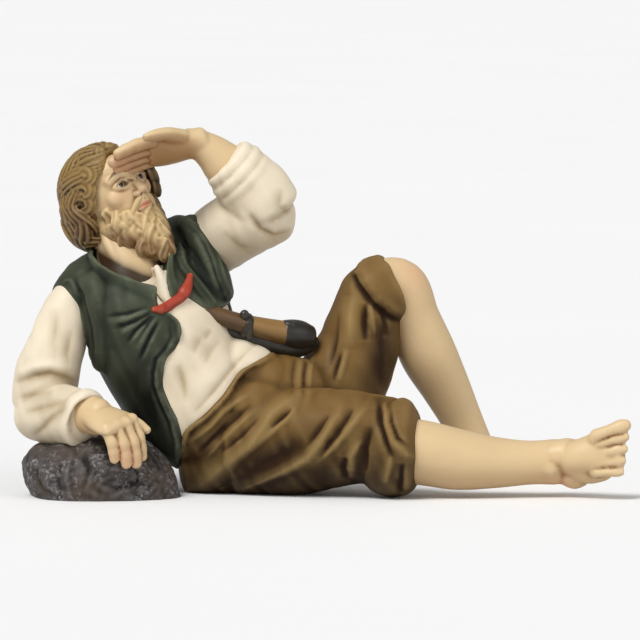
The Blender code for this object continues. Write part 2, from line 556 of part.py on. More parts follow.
def breeches_shells():
    """The breeches: seat, lap and waist, with a leg over each thigh."""
    seat = ball((-15.0, 0.4, 11.0), (13.0, 13.0, 11.0), around=48, rings=30)
    lap = ball((-8.0, 2.0, 19.2), (10.5, 9.5, 9.0), around=48, rings=30)
    thigh_r = loft(
        [(-16.0, -3.0, 11.0, 10.5, 10.8), (-4.0, -6.5, 11.4, 10.6, 10.8), (3.0, -8.8, 12.3, 10.2, 9.8),
         (8.0, -10.6, 12.4, 9.6, 9.2), (13.0, -12.2, 11.6, 9.0, 9.0)],
        (0, 1, 0), around=56, along=48, blunt=0.2)
    thigh_l = loft(
        [(-6.0, 5.0, 14.4, 9.5, 10.0), (2.6, 7.2, 20.4, 9.2, 9.4), (7.0, 8.8, 28.0, 8.6, 8.5),
         (9.0, 9.8, 35.2, 8.0, 7.4), (10.8, 10.6, 39.8, 7.5, 6.8), (14.0, 11.1, 41.3, 7.0, 6.1)],
        (0, 1, 0), around=56, along=48, blunt=0.12)
    hip = loft([(-27.4, 0.0, 6.5, 8.0, 6.5), (-22.0, 0.0, 7.2, 10.5, 7.5), (-15.0, 0.0, 8.2, 11.5, 8.3)],
               (0, 1, 0), around=40, along=30, blunt=0.25)
    fold = ball((-12.6, -0.6, 22.4), (8.4, 6.8, 6.0), around=36, rings=20)
    groin = ball((-14.0, -4.6, 17.4), (8.6, 7.6, 6.6), around=36, rings=20)
    return [seat, lap, thigh_r, thigh_l, hip, fold, groin]


# The folded flap at the left knee, as X, Z seen from the facing side
KNEE_FLAP = [(5.6, 46.5), (8.0, 42.4), (10.8, 38.8), (13.6, 36.6), (16.2, 35.3), (18.0, 38.0),
             (18.0, 52.0), (5.0, 52.0)]

# The top edge of the breeches on the facing side, as X, Z, and the plane of it behind
WAIST_LINE = [(-28.6, 6.0), (-28.2, 12.2), (-27.5, 13.9), (-23.3, 17.5), (-19.8, 21.1), (-16.0, 26.1),
              (-11.5, 28.2),
              (-9.0, 29.4), (-9.0, 45.0), (12.0, 45.0), (12.0, -6.0), (-28.6, -6.0)]
WAIST_POINT = (-22.0, 6.0, 22.0)
WAIST_WAY = (0.72, 0.0, -0.69)


def waist_shells():
    """The top of the breeches about the waist, standing a little proud of the shirt."""
    shells = []
    for points, faces in body_shells(BODY_AROUND, BODY_ALONG):
        normals = shell_normals(points, faces)
        front = ease(-normals[:, 1], -0.25, 0.05)
        depth = inside_depth(points[:, 0], points[:, 2], WAIST_LINE)
        below = ease(depth, -0.2, 0.3)
        behind = ease((points - np.array(WAIST_POINT)) @ unit(WAIST_WAY), -0.2, 0.3)
        cover = front * below + (1.0 - front) * behind
        lift = 0.5 * cover - 0.9 * (1.0 - cover) - 3.0 * ease(-depth, 3.0, 8.0) * (1.0 - cover)
        shells.append((points + normals * lift[:, None], faces))
    return shells


def breeches_cuff_shells():
    """The turned-up hem at the right knee and the folded flap of the left one."""
    right = loft([(11.6, -12.0, 11.6, 8.6, 8.8), (13.6, -12.8, 11.0, 9.4, 9.9), (16.0, -13.4, 10.7, 9.5, 9.8),
                  (18.0, -13.7, 10.6, 8.8, 8.8), (18.7, -13.8, 10.6, 7.9, 7.7)],
                 (0, 1, 0), around=56, along=24, blunt=0.1)
    shells = [right]
    for points, faces in breeches_shells()[3:4]:
        normals = shell_normals(points, faces)
        near = ease(inside_depth(points[:, 0], points[:, 2], KNEE_FLAP), -0.2, 0.4)
        near = near * ease(-normals[:, 1], -0.1, 0.2)
        rear = ease(points[:, 2] + 0.9 * (points[:, 0] - 8.0), 45.0, 45.8) * ease(normals[:, 1], -0.1, 0.2)
        cover = np.maximum(near, rear)
        lift = 0.9 * cover - 0.6 * (1.0 - cover)
        shells.append((points + normals * lift[:, None], faces))
    return shells


def leg_r_shells():
    """The right shin, calf and foot, stretched out along the ground."""
    shin = loft(
        [(12.0, -13.0, 10.4, 6.6, 6.8), (19.5, -13.8, 9.8, 6.2, 6.5), (27.0, -13.8, 8.4, 5.9, 6.1),
         (35.5, -13.2, 7.3, 4.8, 5.0), (42.0, -12.8, 7.0, 4.0, 4.4), (46.4, -12.4, 7.0, 4.0, 4.6)],
         (0, 1, 0), around=48)
    ankle = ball((45.6, -10.0, 7.6), (2.2, 2.6, 2.2))
    return [shin, ankle] + foot_shells((48.4, -12.2, 5.6), (0.70, -0.42, 0.57), (-0.62, -0.60, 0.48),
                                       17.6, -1.0)


def leg_l_shells():
    """The left knee, shin and foot, drawn up behind the right leg."""
    shin = loft(
        [(11.5, 10.6, 40.4, 5.6, 6.2), (14.8, 11.2, 41.2, 5.6, 6.0), (18.4, 11.8, 34.4, 5.3, 5.6),
         (21.6, 12.6, 27.2, 5.7, 5.8), (25.2, 13.6, 20.4, 4.7, 5.0), (28.8, 14.6, 13.0, 3.8, 4.2),
         (31.2, 15.0, 7.0, 3.7, 4.2)], (0, 1, 0), along=56, around=48)
    knee = ball((15.0, 11.2, 41.2), (4.9, 5.6, 5.0))
    return [shin, knee] + foot_shells((31.4, 15.2, 3.8), (0.96, 0.20, -0.06), (0.08, 0.05, 1.0), 18.0, 1.0)


def foot_shells(heel, ahead, top, length, big_toe_side):
    """A bare foot: heel, instep, ball and five toes, the big toe on the side big_toe_side x ahead x top."""
    ahead = unit(ahead)
    top = unit(np.asarray(top, float) - (np.asarray(top) @ ahead) * ahead)
    side = np.cross(ahead, top) * big_toe_side
    heel = np.asarray(heel, float)
    rows = []
    stations = ((0.0, 0.0, 0.17, 0.20), (0.20, 0.05, 0.18, 0.24), (0.42, 0.03, 0.20, 0.20),
                (0.62, -0.02, 0.235, 0.15), (0.76, -0.05, 0.23, 0.11))
    for share, lift, half, thick in stations:
        rows.append((*(heel + ahead * share * length + top * lift * length), half * length, thick * length))
    shells = [loft(rows, side, around=28, along=30, blunt=0.9)]
    for k in range(5):
        across = 0.155 - 0.087 * k
        reach = (0.20, 0.19, 0.17, 0.145, 0.12)[k] * length
        radius = (0.070, 0.052, 0.050, 0.047, 0.046)[k] * length
        root = heel + ahead * (0.78 - 0.03 * k) * length + side * across * length - top * 0.075 * length
        tip = root + ahead * reach
        middle = root + ahead * reach * 0.5 + top * 0.012 * length
        rows = [(*root, radius, radius), (*middle, radius * 1.02, radius),
                (*tip, radius * 0.85, radius * 0.8)]
        shells.append(loft(rows, side, around=12, along=10, blunt=0.8))
    return shells


def flask_shells():
    """The horn flask at his left hip: a short neck, a knotted band, the body and its end."""
    body = loft(
        [(-23.2, -3.4, 37.6, 1.4, 1.5), (-20.4, -2.6, 35.9, 1.6, 1.8), (-16.6, -1.0, 34.5, 1.9, 2.0),
         (-12.0, 0.6, 33.0, 2.2, 2.4), (-7.6, 2.2, 31.9, 2.3, 2.5), (-3.6, 3.4, 31.6, 2.0, 2.2),
         (-1.2, 4.2, 31.8, 1.3, 1.4)], (0, 0.3, 1), around=28, along=48)
    return [body]


def flask_band_shells():
    """The bands about the flask and the leather fold it lies on."""
    knot = ball((-15.4, -0.8, 34.2), (1.2, 2.6, 2.7))
    bow = ball((-15.0, -1.8, 36.0), (1.2, 1.3, 1.1))
    end = ball((-4.4, 2.8, 31.7), (1.5, 2.8, 2.8))
    cap = ball((-2.2, 3.8, 31.4), (2.0, 2.1, 1.9))
    fold = loft([(-18.0, -1.4, 32.8, 1.6, 1.2), (-13.0, 0.2, 30.6, 2.2, 1.9), (-8.4, 2.0, 29.6, 2.6, 2.2),
                 (-4.2, 3.4, 30.0, 2.2, 1.8), (-1.6, 4.2, 30.8, 1.4, 1.2)], (0, 1, 0), around=24, along=30)
    return [knot, bow, end, cap, fold]


def tie_shells():
    """The red cord that draws the vest together at the neck."""
    return [loft([(-33.4, -11.0, 38.2, 0.6, 0.6), (-31.4, -10.9, 38.3, 0.85, 0.85),
                  (-29.6, -10.6, 39.3, 1.0, 1.0),
                  (-27.8, -9.6, 40.8, 1.0, 1.0), (-26.7, -8.4, 42.6, 0.9, 0.9),
                  (-26.4, -6.6, 44.4, 0.6, 0.6)],
                 (0, 1, 0), around=16, along=30)]


FORMS = {
    "rock": rock_shells,
    "torso": torso_shells,
    "vest": vest_shells,
    "sleeve_r": sleeve_r_shells,
    "cuff_r": cuff_r_shells,
    "sleeve_l": sleeve_l_shells,
    "cuff_l": cuff_l_shells,
    "hand_r": hand_r_shells,
    "hand_l": hand_l_shells,
    "neck": neck_shells,
    "skull": skull_shells,
    "hair_cap": hair_cap_shells,
    "hair_locks": hair_lock_shells,
    "beard": beard_shells,
    "breeches_waist": waist_shells,
    "breeches": breeches_shells,
    "breeches_cuffs": breeches_cuff_shells,
    "leg_r": leg_r_shells,
    "leg_l": leg_l_shells,
    "flask": flask_shells,
    "flask_bands": flask_band_shells,
    "tie": tie_shells,
}


# Folds on the facing side: height out of the cloth, half width, and the line as X, Z
FOLDS = [
    (0.9, 1.6,
     [(-3.6, 21.0), (-7.1, 19.4), (-10.3, 17.2), (-12.2, 14.9), (-13.5, 11.8), (-16.0, 9.2), (-21.4, 5.4)]),
    (-0.9, 1.3, [(-23.0, 11.1), (-18.9, 14.3), (-14.1, 16.2), (-11.5, 17.8)]),
    (0.6, 1.1, [(-21.4, 15.5), (-18.9, 17.8), (-15.7, 20.6), (-12.5, 21.5)]),
    (-0.9, 2.2, [(-10.3, 11.0), (-6.4, 11.8), (-4.0, 13.4), (-0.8, 17.0)]),
    (1.0, 1.1,
     [(3.8, 18.1), (1.2, 14.6), (-1.3, 11.1), (-4.2, 8.5), (-7.1, 6.6), (-10.3, 4.7), (-13.5, 3.1)]),
    (-0.9, 0.9, [(5.0, 17.6), (2.4, 12.9), (0.2, 9.6)]),
    (0.6, 0.9, [(6.8, 16.5), (4.6, 12.6), (2.5, 9.6), (-0.7, 7.2)]),
    (-1.0, 1.2, [(8.0, 18.0), (6.4, 12.0), (5.6, 6.0)]),
    (0.6, 0.8, [(12.9, 20.5), (12.6, 18.9), (13.2, 15.4), (13.9, 12.5), (15.5, 10.3), (17.7, 8.7)]),
    (-0.9, 0.9, [(11.6, 20.3), (11.3, 18.7), (11.9, 15.2), (12.6, 12.0), (13.0, 7.0), (12.0, 3.0)]),
    (-1.3, 1.2, [(16.2, 7.0), (15.6, 4.4)]),
    (0.6, 1.0, [(5.0, 32.1), (3.8, 27.0), (3.1, 22.9)]),
    (-0.7, 0.9, [(7.0, 31.6), (5.2, 26.4), (4.2, 22.6)]),
    (0.6, 0.9, [(9.2, 31.8), (7.0, 27.7), (5.4, 22.9)]),
    (-1.0, 1.8, [(13.0, 30.4), (11.6, 27.4), (9.6, 23.4)]),
    (-0.6, 0.8, [(4.6, 38.4), (3.0, 31.4), (1.4, 25.4)]),
    (-0.6, 0.8, [(-4.6, 28.0), (-4.4, 21.6)]),
    (-0.9, 0.9, [(-61.5, 23.0), (-57.1, 24.9), (-54.2, 25.4), (-50.8, 24.4), (-48.6, 22.8)]),
    (-0.7, 1.1, [(-60.0, 16.6), (-56.7, 18.4), (-52.4, 20.0), (-49.6, 21.4)]),
    (-0.6, 1.0, [(-55.8, 12.6), (-52.4, 15.4), (-50.2, 18.4)]),
    (0.4, 1.2, [(-56.4, 36.0), (-57.4, 30.0), (-58.4, 26.6)]),
    (-0.4, 1.2, [(-52.4, 37.0), (-53.0, 31.0), (-52.8, 27.4)]),
    (-0.9, 0.9, [(-14.8, 58.0), (-12.1, 53.5), (-9.3, 52.2), (-5.6, 53.4)]),
    (-0.5, 1.0, [(-20.0, 53.0), (-16.6, 50.0), (-12.4, 49.4)]),
    (-0.5, 0.9, [(-33.8, 37.9), (-37.2, 35.6), (-40.7, 34.2)]),
    (-0.5, 0.8, [(-33.8, 37.0), (-36.9, 33.4), (-38.8, 30.8)]),
    (-0.5, 0.8, [(-32.6, 36.4), (-34.3, 32.7), (-36.2, 28.4)]),
    (-0.4, 1.0, [(-23.8, 33.2), (-25.4, 29.8)]),
]


def fold_out(points, normals):
    """How far the folds raise each point of the facing side, in millimetres."""
    out = np.zeros(len(points))
    facing = ease(-normals[:, 1], 0.05, 0.45)
    for height, half_width, line in FOLDS:
        line = np.asarray(line, float)
        steps = np.concatenate([[0.0], np.cumsum(np.linalg.norm(np.diff(line, axis=0), axis=1))])
        best = np.full(len(points), 1e9)
        share = np.zeros(len(points))
        flat = points[:, [0, 2]]
        for k in range(len(line) - 1):
            edge = line[k + 1] - line[k]
            along = np.clip((flat - line[k]) @ edge / (edge @ edge), 0.0, 1.0)
            away = np.linalg.norm(flat - line[k] - along[:, None] * edge, axis=1)
            near = away < best
            best = np.where(near, away, best)
            share = np.where(near, (steps[k] + along * np.linalg.norm(edge)) / steps[-1], share)
        taper = 0.35 + 0.65 * np.sin(np.pi * np.clip(share, 0.0, 1.0)) ** 0.6
        out += height * taper * np.exp(-(best / half_width) ** 2)
    return out * facing


def mesh_of(name, shells):
    """One mesh holding every shell, in metres."""
    points, faces, start = [], [], 0
    for shell_points, shell_faces in shells:
        points.append(shell_points)
        faces.append(shell_faces + start)
        start += len(shell_points)
    faces = np.vstack(faces)
    fans = faces[:, 2] == faces[:, 3]
    made = bpy.data.meshes.new(name)
    listed = faces[~fans].tolist() + faces[fans, :3].tolist()
    made.from_pydata((np.vstack(points) * MM).tolist(), [], listed)
    made.update()
    return made


def triangle_count(mesh):
    return sum(len(polygon.vertices) - 2 for polygon in mesh.polygons)


def solid_of(obj):
    """The mesh of an object with its modifiers worked out."""
    graph = bpy.context.evaluated_depsgraph_get()
    return bpy.data.meshes.new_from_object(obj.evaluated_get(graph))


def positions(mesh):
    """The vertex positions and normals of a mesh, in design millimetres."""
    points = np.empty(len(mesh.vertices) * 3)
    mesh.vertices.foreach_get("co", points)
    normals = np.empty(len(mesh.vertices) * 3)
    mesh.vertices.foreach_get("normal", normals)
    return points.reshape(-1, 3) / MM, normals.reshape(-1, 3)


def painted_wood():
    wood = bpy.data.materials.new("painted_wood")
    wood.use_nodes = True
    shader = wood.node_tree.nodes["Principled BSDF"]
    shader.inputs["Base Color"].default_value = (0.42, 0.30, 0.18, 1.0)
    shader.inputs["Roughness"].default_value = 0.45
    return wood


def in_collection(name, obj):
    kept = bpy.data.collections.get(name)
    if kept is None:
        kept = bpy.data.collections.new(name)
        bpy.context.scene.collection.children.link(kept)
    kept.objects.link(obj)
    return kept


def ground_cutter():
    """A slab whose top is the ground, to leave flat the parts that stand on it."""
    span = FIGURE_LENGTH
    corners = [(x, y, z) for z in (-0.2 * span, 0.0) for y in (-span, span) for x in (-span, span)]
    faces = [(0, 2, 3, 1), (4, 5, 7, 6), (0, 1, 5, 4), (2, 6, 7, 3), (0, 4, 6, 2), (1, 3, 7, 5)]
    slab = bpy.data.meshes.new("ground_slab")
    slab.from_pydata(corners, [], faces)
    cutter = bpy.data.objects.new("ground_slab", slab)
    cutter.hide_render = True
    cutter.display_type = "WIRE"
    in_collection("cutters", cutter).hide_render = True
    return cutter


def one_block(shells):
    """Every form joined into one solid block and softened where they meet."""
    rough = bpy.data.objects.new("rough", mesh_of("rough", shells))
    in_collection("nativity_shepherd", rough)
    block = rough.modifiers.new("join", "REMESH")
    block.mode = "VOXEL"
    block.voxel_size = BLOCK_VOXEL
    soft = rough.modifiers.new("soften", "SMOOTH")
    soft.factor = 0.5
    soft.iterations = SMOOTHING_PASSES
    bpy.context.view_layer.update()
    mesh = solid_of(rough)
    bpy.data.objects.remove(rough)
    return mesh


def main():
    for old in list(bpy.data.objects):
        bpy.data.objects.remove(old)
    mesh = one_block([shell for make in FORMS.values() for shell in make()])
    points, normals = positions(mesh)
    points = points + normals * fold_out(points, normals)[:, None]
    points[:, 2] -= GROUND_LEVEL
    standing = points[points[:, 2] > 0.0]
    middle = (standing.min(axis=0) + standing.max(axis=0)) / 2.0
    points[:, :2] -= middle[:2]
    mesh.vertices.foreach_set("co", (points * MM).ravel())
    mesh.update()
    mesh.name = "shepherd"
    mesh.materials.clear()
    mesh.materials.append(painted_wood())
    shepherd = bpy.data.objects.new("shepherd", mesh)
    in_collection("nativity_shepherd", shepherd)
    facets = shepherd.modifiers.new("facets", "DECIMATE")
    facets.ratio = TARGET_TRIANGLES / triangle_count(mesh)
    facets.use_collapse_triangulate = True
    stand = shepherd.modifiers.new("stand_flat", "BOOLEAN")
    stand.operation = "DIFFERENCE"
    stand.solver = "EXACT"
    stand.object = ground_cutter()


if __name__ == "__main__":
    main()
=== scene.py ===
"""The painted look of the nativity shepherd: each garment, the skin, the hair and the rock as its
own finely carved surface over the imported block, with painted wood finishes, a pale floor, soft
light and the camera. Forms are in design millimetres, as in the part's source, and are moved
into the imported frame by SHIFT.
"""

import bmesh
import bpy
import numpy as np
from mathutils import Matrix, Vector
from mathutils.bvhtree import BVHTree


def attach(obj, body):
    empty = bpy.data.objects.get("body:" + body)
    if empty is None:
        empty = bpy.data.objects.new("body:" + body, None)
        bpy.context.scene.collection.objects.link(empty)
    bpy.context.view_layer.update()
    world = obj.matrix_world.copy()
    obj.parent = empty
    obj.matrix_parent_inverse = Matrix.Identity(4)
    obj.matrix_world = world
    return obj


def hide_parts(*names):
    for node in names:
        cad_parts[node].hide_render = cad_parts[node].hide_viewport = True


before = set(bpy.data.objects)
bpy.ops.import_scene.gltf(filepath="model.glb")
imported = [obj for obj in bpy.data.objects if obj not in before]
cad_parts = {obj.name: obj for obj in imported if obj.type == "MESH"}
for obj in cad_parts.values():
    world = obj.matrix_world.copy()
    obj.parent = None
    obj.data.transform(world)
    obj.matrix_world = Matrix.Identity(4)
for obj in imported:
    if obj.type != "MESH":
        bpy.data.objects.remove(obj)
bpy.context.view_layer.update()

MM = 0.001
SHIFT = np.array([0.077, 1.739, -0.8])
HEAD_CENTRE = (-43.2, 3, 60.4)
HEAD_FACING = (0.62, -0.70, 0.34)
HEAD_UP = (-0.42, 0.04, 0.91)
HEAD_HEIGHT = 20.5
NECK_RADIUS = 5.4
HAIR_DEPTH = 1.5
VEST_THICKNESS = 0.9
FRONT = (0, -1, 0)
BACK = (0, 1, 0)
SKULL_HALF = np.array([0.35, 0.45, 0.43]) * HEAD_HEIGHT
FAR_FRONT = -60
CAP_STEPS = (5, 25, 45, 65, 80)


# Shapes

def unit(vector):
    """Vectors at length one: v / |v|."""
    vector = np.asarray(vector, float)
    return vector / np.maximum(np.linalg.norm(vector, axis=-1, keepdims=True), 1e-12)


def ease(value, low, high):
    """A smooth rise from 0 at low to 1 at high: 3t^2 - 2t^3."""
    t = np.clip((value - low) / (high - low), 0, 1)
    return t * t * (3 - 2 * t)


def spline(rows, count):
    """Rows read at even steps of chord length from cubic curves whose slopes are central differences."""
    rows = np.asarray(rows, float)
    knots = np.concatenate([[0], np.cumsum(np.linalg.norm(np.diff(rows[:, :3], axis=0), axis=1))])
    slopes = np.gradient(rows, knots, axis=0)
    at = np.linspace(0, knots[-1], count)
    left = np.clip(np.searchsorted(knots, at, side="right") - 1, 0, len(rows) - 2)
    width = (knots[left + 1] - knots[left])[:, None]
    t = (at - knots[left])[:, None] / width
    start = (1 + 2 * t) * (1 - t) ** 2 * rows[left] + t * (1 - t) ** 2 * width * slopes[left]
    end = t * t * (3 - 2 * t) * rows[left + 1] + t * t * (t - 1) * width * slopes[left + 1]
    return start + end


def grid_faces(rings, around):
    """Quads between neighbouring rings, each ring joined round to its own start."""
    ring, step = np.meshgrid(np.arange(rings - 1), np.arange(around), indexing="ij")
    after = (step + 1) % around
    quads = [ring * around + step, ring * around + after]
    quads += [(ring + 1) * around + after, (ring + 1) * around + step]
    return np.stack(quads, axis=-1).reshape(-1, 4)


def outward(points, faces):
    """The shell turned to face out, where its signed volume, the sum of a.(b x c + c x d), is positive."""
    a, b, c, d = (points[faces[:, k]] for k in range(4))
    volume = np.einsum("ij,ij->i", a, np.cross(b, c) + np.cross(c, d)).sum()
    return points, faces if volume > 0 else faces[:, ::-1]


def capped(rings, poles):
    """Rings of points joined into a skin and closed by a fan of triangles to a pole at either end."""
    around, count = rings.shape[1], rings.shape[0] * rings.shape[1]
    step = np.arange(around)
    after = (step + 1) % around
    near, far = np.full(around, count), np.full(around, count + 1)
    faces = [grid_faces(len(rings), around), np.stack([after, step, near, near], axis=1)]
    faces.append(np.stack([count - around + step, count - around + after, far, far], axis=1))
    return outward(np.vstack([rings.reshape(-1, 3), poles]), np.vstack(faces))


def merged(shells):
    """Every shell's points in one array, and every face in one list, a fan's as triangles."""
    starts = np.cumsum([0] + [len(points) for points, _ in shells])
    faces = np.vstack([faces + start for (_, faces), start in zip(shells, starts)])
    fans = faces[:, 2] == faces[:, 3]
    return np.vstack([points for points, _ in shells]), faces[~fans].tolist() + faces[fans, :3].tolist()


def loft(rows, side, around=28, along=40, relief=None, blunt=0.7):
    """An ellipse carried along a smooth path: centre + across * w cos(a) + deep * d sin(a), plus
    relief(a, share) along the ellipse's normal, closed with round ends of blunt * the radius."""
    rows = np.asarray(rows, float)
    sides = np.broadcast_to(np.asarray(side, float), (len(rows), 3))
    made = spline(np.hstack([rows, sides]), along)
    centre, half, side = made[:, :3], made[:, 3:5], made[:, 5:8]
    ahead = unit(np.gradient(centre, axis=0))
    across = unit(side - np.einsum("ij,ij->i", side, ahead)[:, None] * ahead)
    deep = np.cross(across, ahead)
    turn = np.linspace(0, 2 * np.pi, around, endpoint=False)
    angle, part = np.meshgrid(turn, np.linspace(0, 1, along))
    out = np.zeros_like(angle) if relief is None else relief(angle, part)
    normal = unit(np.stack([np.cos(angle) * half[:, 1:], np.sin(angle) * half[:, :1]], axis=-1))
    flat = np.stack([np.cos(angle) * half[:, :1], np.sin(angle) * half[:, 1:]], axis=-1)
    flat = flat + normal * out[..., None]
    body = centre[:, None] + flat[..., :1] * across[:, None] + flat[..., 1:] * deep[:, None]
    steps = np.radians(CAP_STEPS)[:, None, None]
    cap = blunt * half.min(axis=1)
    first = centre[0] - cap[0] * np.cos(steps) * ahead[0] + np.sin(steps) * (body[0] - centre[0])
    last = centre[-1] + cap[-1] * np.cos(steps) * ahead[-1] + np.sin(steps) * (body[-1] - centre[-1])
    poles = [centre[0] - cap[0] * ahead[0], centre[-1] + cap[-1] * ahead[-1]]
    return capped(np.concatenate([first, body, last[::-1]]), poles)


def ball(centre, half, axes=None, around=32, rings=20):
    """An ellipsoid as a loft: half widths times sqrt(1 - s^2) at s from -0.98 to 0.98 of its third axis."""
    axes = np.eye(3) if axes is None else np.asarray(axes, float)
    share = np.linspace(-0.98, 0.98, rings)
    path = np.asarray(centre) + share[:, None] * axes[2] * half[2]
    width = np.sqrt(1 - share ** 2)[:, None] * np.asarray(half[:2], float)
    return loft(np.hstack([path, width]), axes[0], around=around, along=rings * 2, blunt=0.3)


def head_frame():
    """The head's left, facing and up directions, square to each other."""
    up = unit(HEAD_UP)
    facing = np.asarray(HEAD_FACING, float)
    facing = unit(facing - (facing @ up) * up)
    return np.stack([np.cross(up, facing), facing, up])


def in_head(left, facing, up):
    """The head's centre plus millimetres along its left, facing and up directions."""
    return np.asarray(HEAD_CENTRE) + np.array([left, facing, up]) @ head_frame()


def on_head(turn, height, lift=0):
    """A point on the scalp's ellipsoid at a turn to the left of the face and a height, in degrees."""
    turn, height = np.radians(turn), np.radians(height)
    way = np.array([np.sin(turn) * np.cos(height), np.cos(turn) * np.cos(height), np.sin(height)])
    return in_head(*(way * (SKULL_HALF + HAIR_DEPTH + lift)))


def inside_depth(x, z, outline):
    """The distance of each point to a closed outline's nearest edge, positive inside it by the
    even-odd count of crossings and negative outside."""
    a = np.asarray(outline, float)
    b = np.roll(a, -1, axis=0)
    away, crossings = np.full(len(x), 1e9), np.zeros(len(x), int)
    for start, end in zip(a, b):
        edge = end - start
        along = np.clip(((x - start[0]) * edge[0] + (z - start[1]) * edge[1]) / (edge @ edge), 0, 1)
        away = np.minimum(away, np.hypot(x - start[0] - along * edge[0], z - start[1] - along * edge[1]))
        rise = edge[1] if edge[1] != 0 else 1e-9
        crossings += ((start[1] > z) != (end[1] > z)) & (x < (z - start[1]) * edge[0] / rise + start[0])
    return np.where(crossings % 2 == 1, away, -away)


def shell_normals(points, faces):
    """The outward direction at each point: the sum of its faces' area vectors, at length one."""
    a, b, c, d = (points[faces[:, k]] for k in range(4))
    face = np.cross(c - a, d - b)
    normals = np.zeros_like(points)
    for k in range(4):
        np.add.at(normals, faces[:, k], face)
    return unit(normals)


def seen_front(normals):
    """1 on faces turned to the front, 0 on those turned to the back."""
    return ease(-normals[:, 1], -0.25, 0.05)


def strokes_out(points, normals, strokes, facing=FRONT, wide=1, lean=0):
    """How far carved strokes raise each point that faces one way. A stroke is a height, a half width
    and a line in X and Z: height * taper * exp(-(distance / half width)^1.6), the half width times
    wide and (1 + lean) on the line's right, (1 - lean) on its left."""
    out = np.zeros(len(points))
    towards = ease(normals @ np.asarray(facing), 0.05, 0.4)
    for height, half_width, line in strokes:
        line, half_width = np.asarray(line, float), half_width * wide
        low, high = line.min(axis=0) - 3.6 * half_width, line.max(axis=0) + 3.6 * half_width
        seen = points[:, (0, 2)]
        near = np.flatnonzero(np.all((seen > low) & (seen < high), axis=1) & (towards > 0))
        seen = seen[near]
        steps = np.concatenate([[0], np.cumsum(np.linalg.norm(np.diff(line, axis=0), axis=1))])
        best, share, right = np.full(len(near), 1e9), np.zeros(len(near)), np.zeros(len(near))
        for k in range(len(line) - 1):
            edge = line[k + 1] - line[k]
            along = np.clip((seen - line[k]) @ edge / (edge @ edge), 0, 1)
            gap = seen - line[k] - along[:, None] * edge
            away = np.linalg.norm(gap, axis=1)
            share = np.where(away < best, (steps[k] + along * np.linalg.norm(edge)) / steps[-1], share)
            right = np.where(away < best, gap[:, 0] * edge[1] - gap[:, 1] * edge[0], right)
            best = np.minimum(best, away)
        taper = 0.15 + 0.85 * np.sin(np.pi * np.clip(share, 0, 1)) ** 0.8
        half = half_width * (1 + lean * np.clip(2 * right, -1, 1))
        out[near] += height * taper * np.exp(-(best / half) ** 1.6)
    return out * towards


def worked(points):
    """The slow unevenness of cut wood, in millimetres: 0.10 sin(a) + 0.05 sin(b), a and b sums of x, y, z
    bent by a further sine."""
    x, y, z = points.T
    slow = np.sin(0.62 * x - 0.40 * z + 1.2 * np.sin(0.31 * z + 0.37 * y))
    return 0.10 * slow + 0.05 * np.sin(1.3 * x + 0.9 * z + 1.4 * np.sin(0.5 * x - 0.6 * y))


def tree_of(shells):
    """A search tree over shells, for laying trims on them."""
    points, faces = merged(shells)
    return BVHTree.FromPolygons(points.tolist(), faces)


def from_front(tree, x, z):
    """Where a line from far in front meets a surface, or nothing."""
    return tree.ray_cast(Vector((x, FAR_FRONT, z)), Vector(BACK))[0]


def laid(tree, line, sink):
    """Rows of a cord laid on a surface: each X, Z of the line is carried along Y to the surface, or to the
    depth of its nearest point where it passes it, then sunk."""
    rows = []
    for x, z in spline(np.hstack([line, np.zeros((len(line), 1))]), 4 * len(line))[:, :2]:
        hit = from_front(tree, x, z)
        if hit is None:
            hit = tree.find_nearest(Vector((x, 4, z)))[0]
        rows.append((x, hit.y + sink, z))
    rows = np.array(rows)
    rows[1:-1, 1] = (rows[:-2, 1] + rows[1:-1, 1] + rows[2:, 1]) / 3
    return rows


def piping(tree, line, radius, sink):
    """A round cord, thinner at its ends, laid on a surface and sunk by a share of its radius."""
    rows = laid(tree, line, sink * radius)
    size = radius * (0.55 + 0.45 * np.sin(np.pi * np.linspace(0.02, 0.98, len(rows))) ** 0.3)
    return loft(np.column_stack([rows, size, size]), (0.03, 1, 0.02), around=10, along=3 * len(rows))


# Forms of the figure

TORSO_ROWS = [
    (-18.5, 0.6, 12.6, 11.5, 10.5), (-24.2, 0.2, 17.8, 13, 12.6), (-29, 0.4, 25.4, 13.8, 12.6),
    (-32.4, 1.2, 34, 15.8, 12.4), (-34.4, 2.2, 40, 15.8, 10.8), (-36.4, 3.2, 44.2, 12.4, 8.4),
    (-37.4, 3.8, 46.4, 8.4, 6.6)]
TORSO_SIDES = [
    (0.25, 0.95, 0.15), (0.32, 0.90, 0.20), (0.45, 0.82, 0.25), (0.60, 0.74, 0.24),
    (0.68, 0.68, 0.24), (0.72, 0.64, 0.24), (0.74, 0.62, 0.24)]
SHIRT_ROWS = TORSO_ROWS[:5] + [(-35.4, 3.6, 42.6, 12, 8), (-35.8, 4.2, 43.8, 8, 5.6)]
BELLY_CENTRE = (-17.6, 2, 25.2)
BELLY_HALF = (8.6, 9.5, 7)
NECK_HOLE = [(-33.2, 41.8), (-36.2, 42.6), (-40.4, 44), (-43.4, 45.8), (-46.4, 48.4), (-47, 58),
             (-32, 58), (-31.4, 49.4), (-31, 47), (-30.8, 45.4), (-30.2, 43.6), (-29.4, 41.8), (-29, 40.2),
             (-31.4, 39.4)]
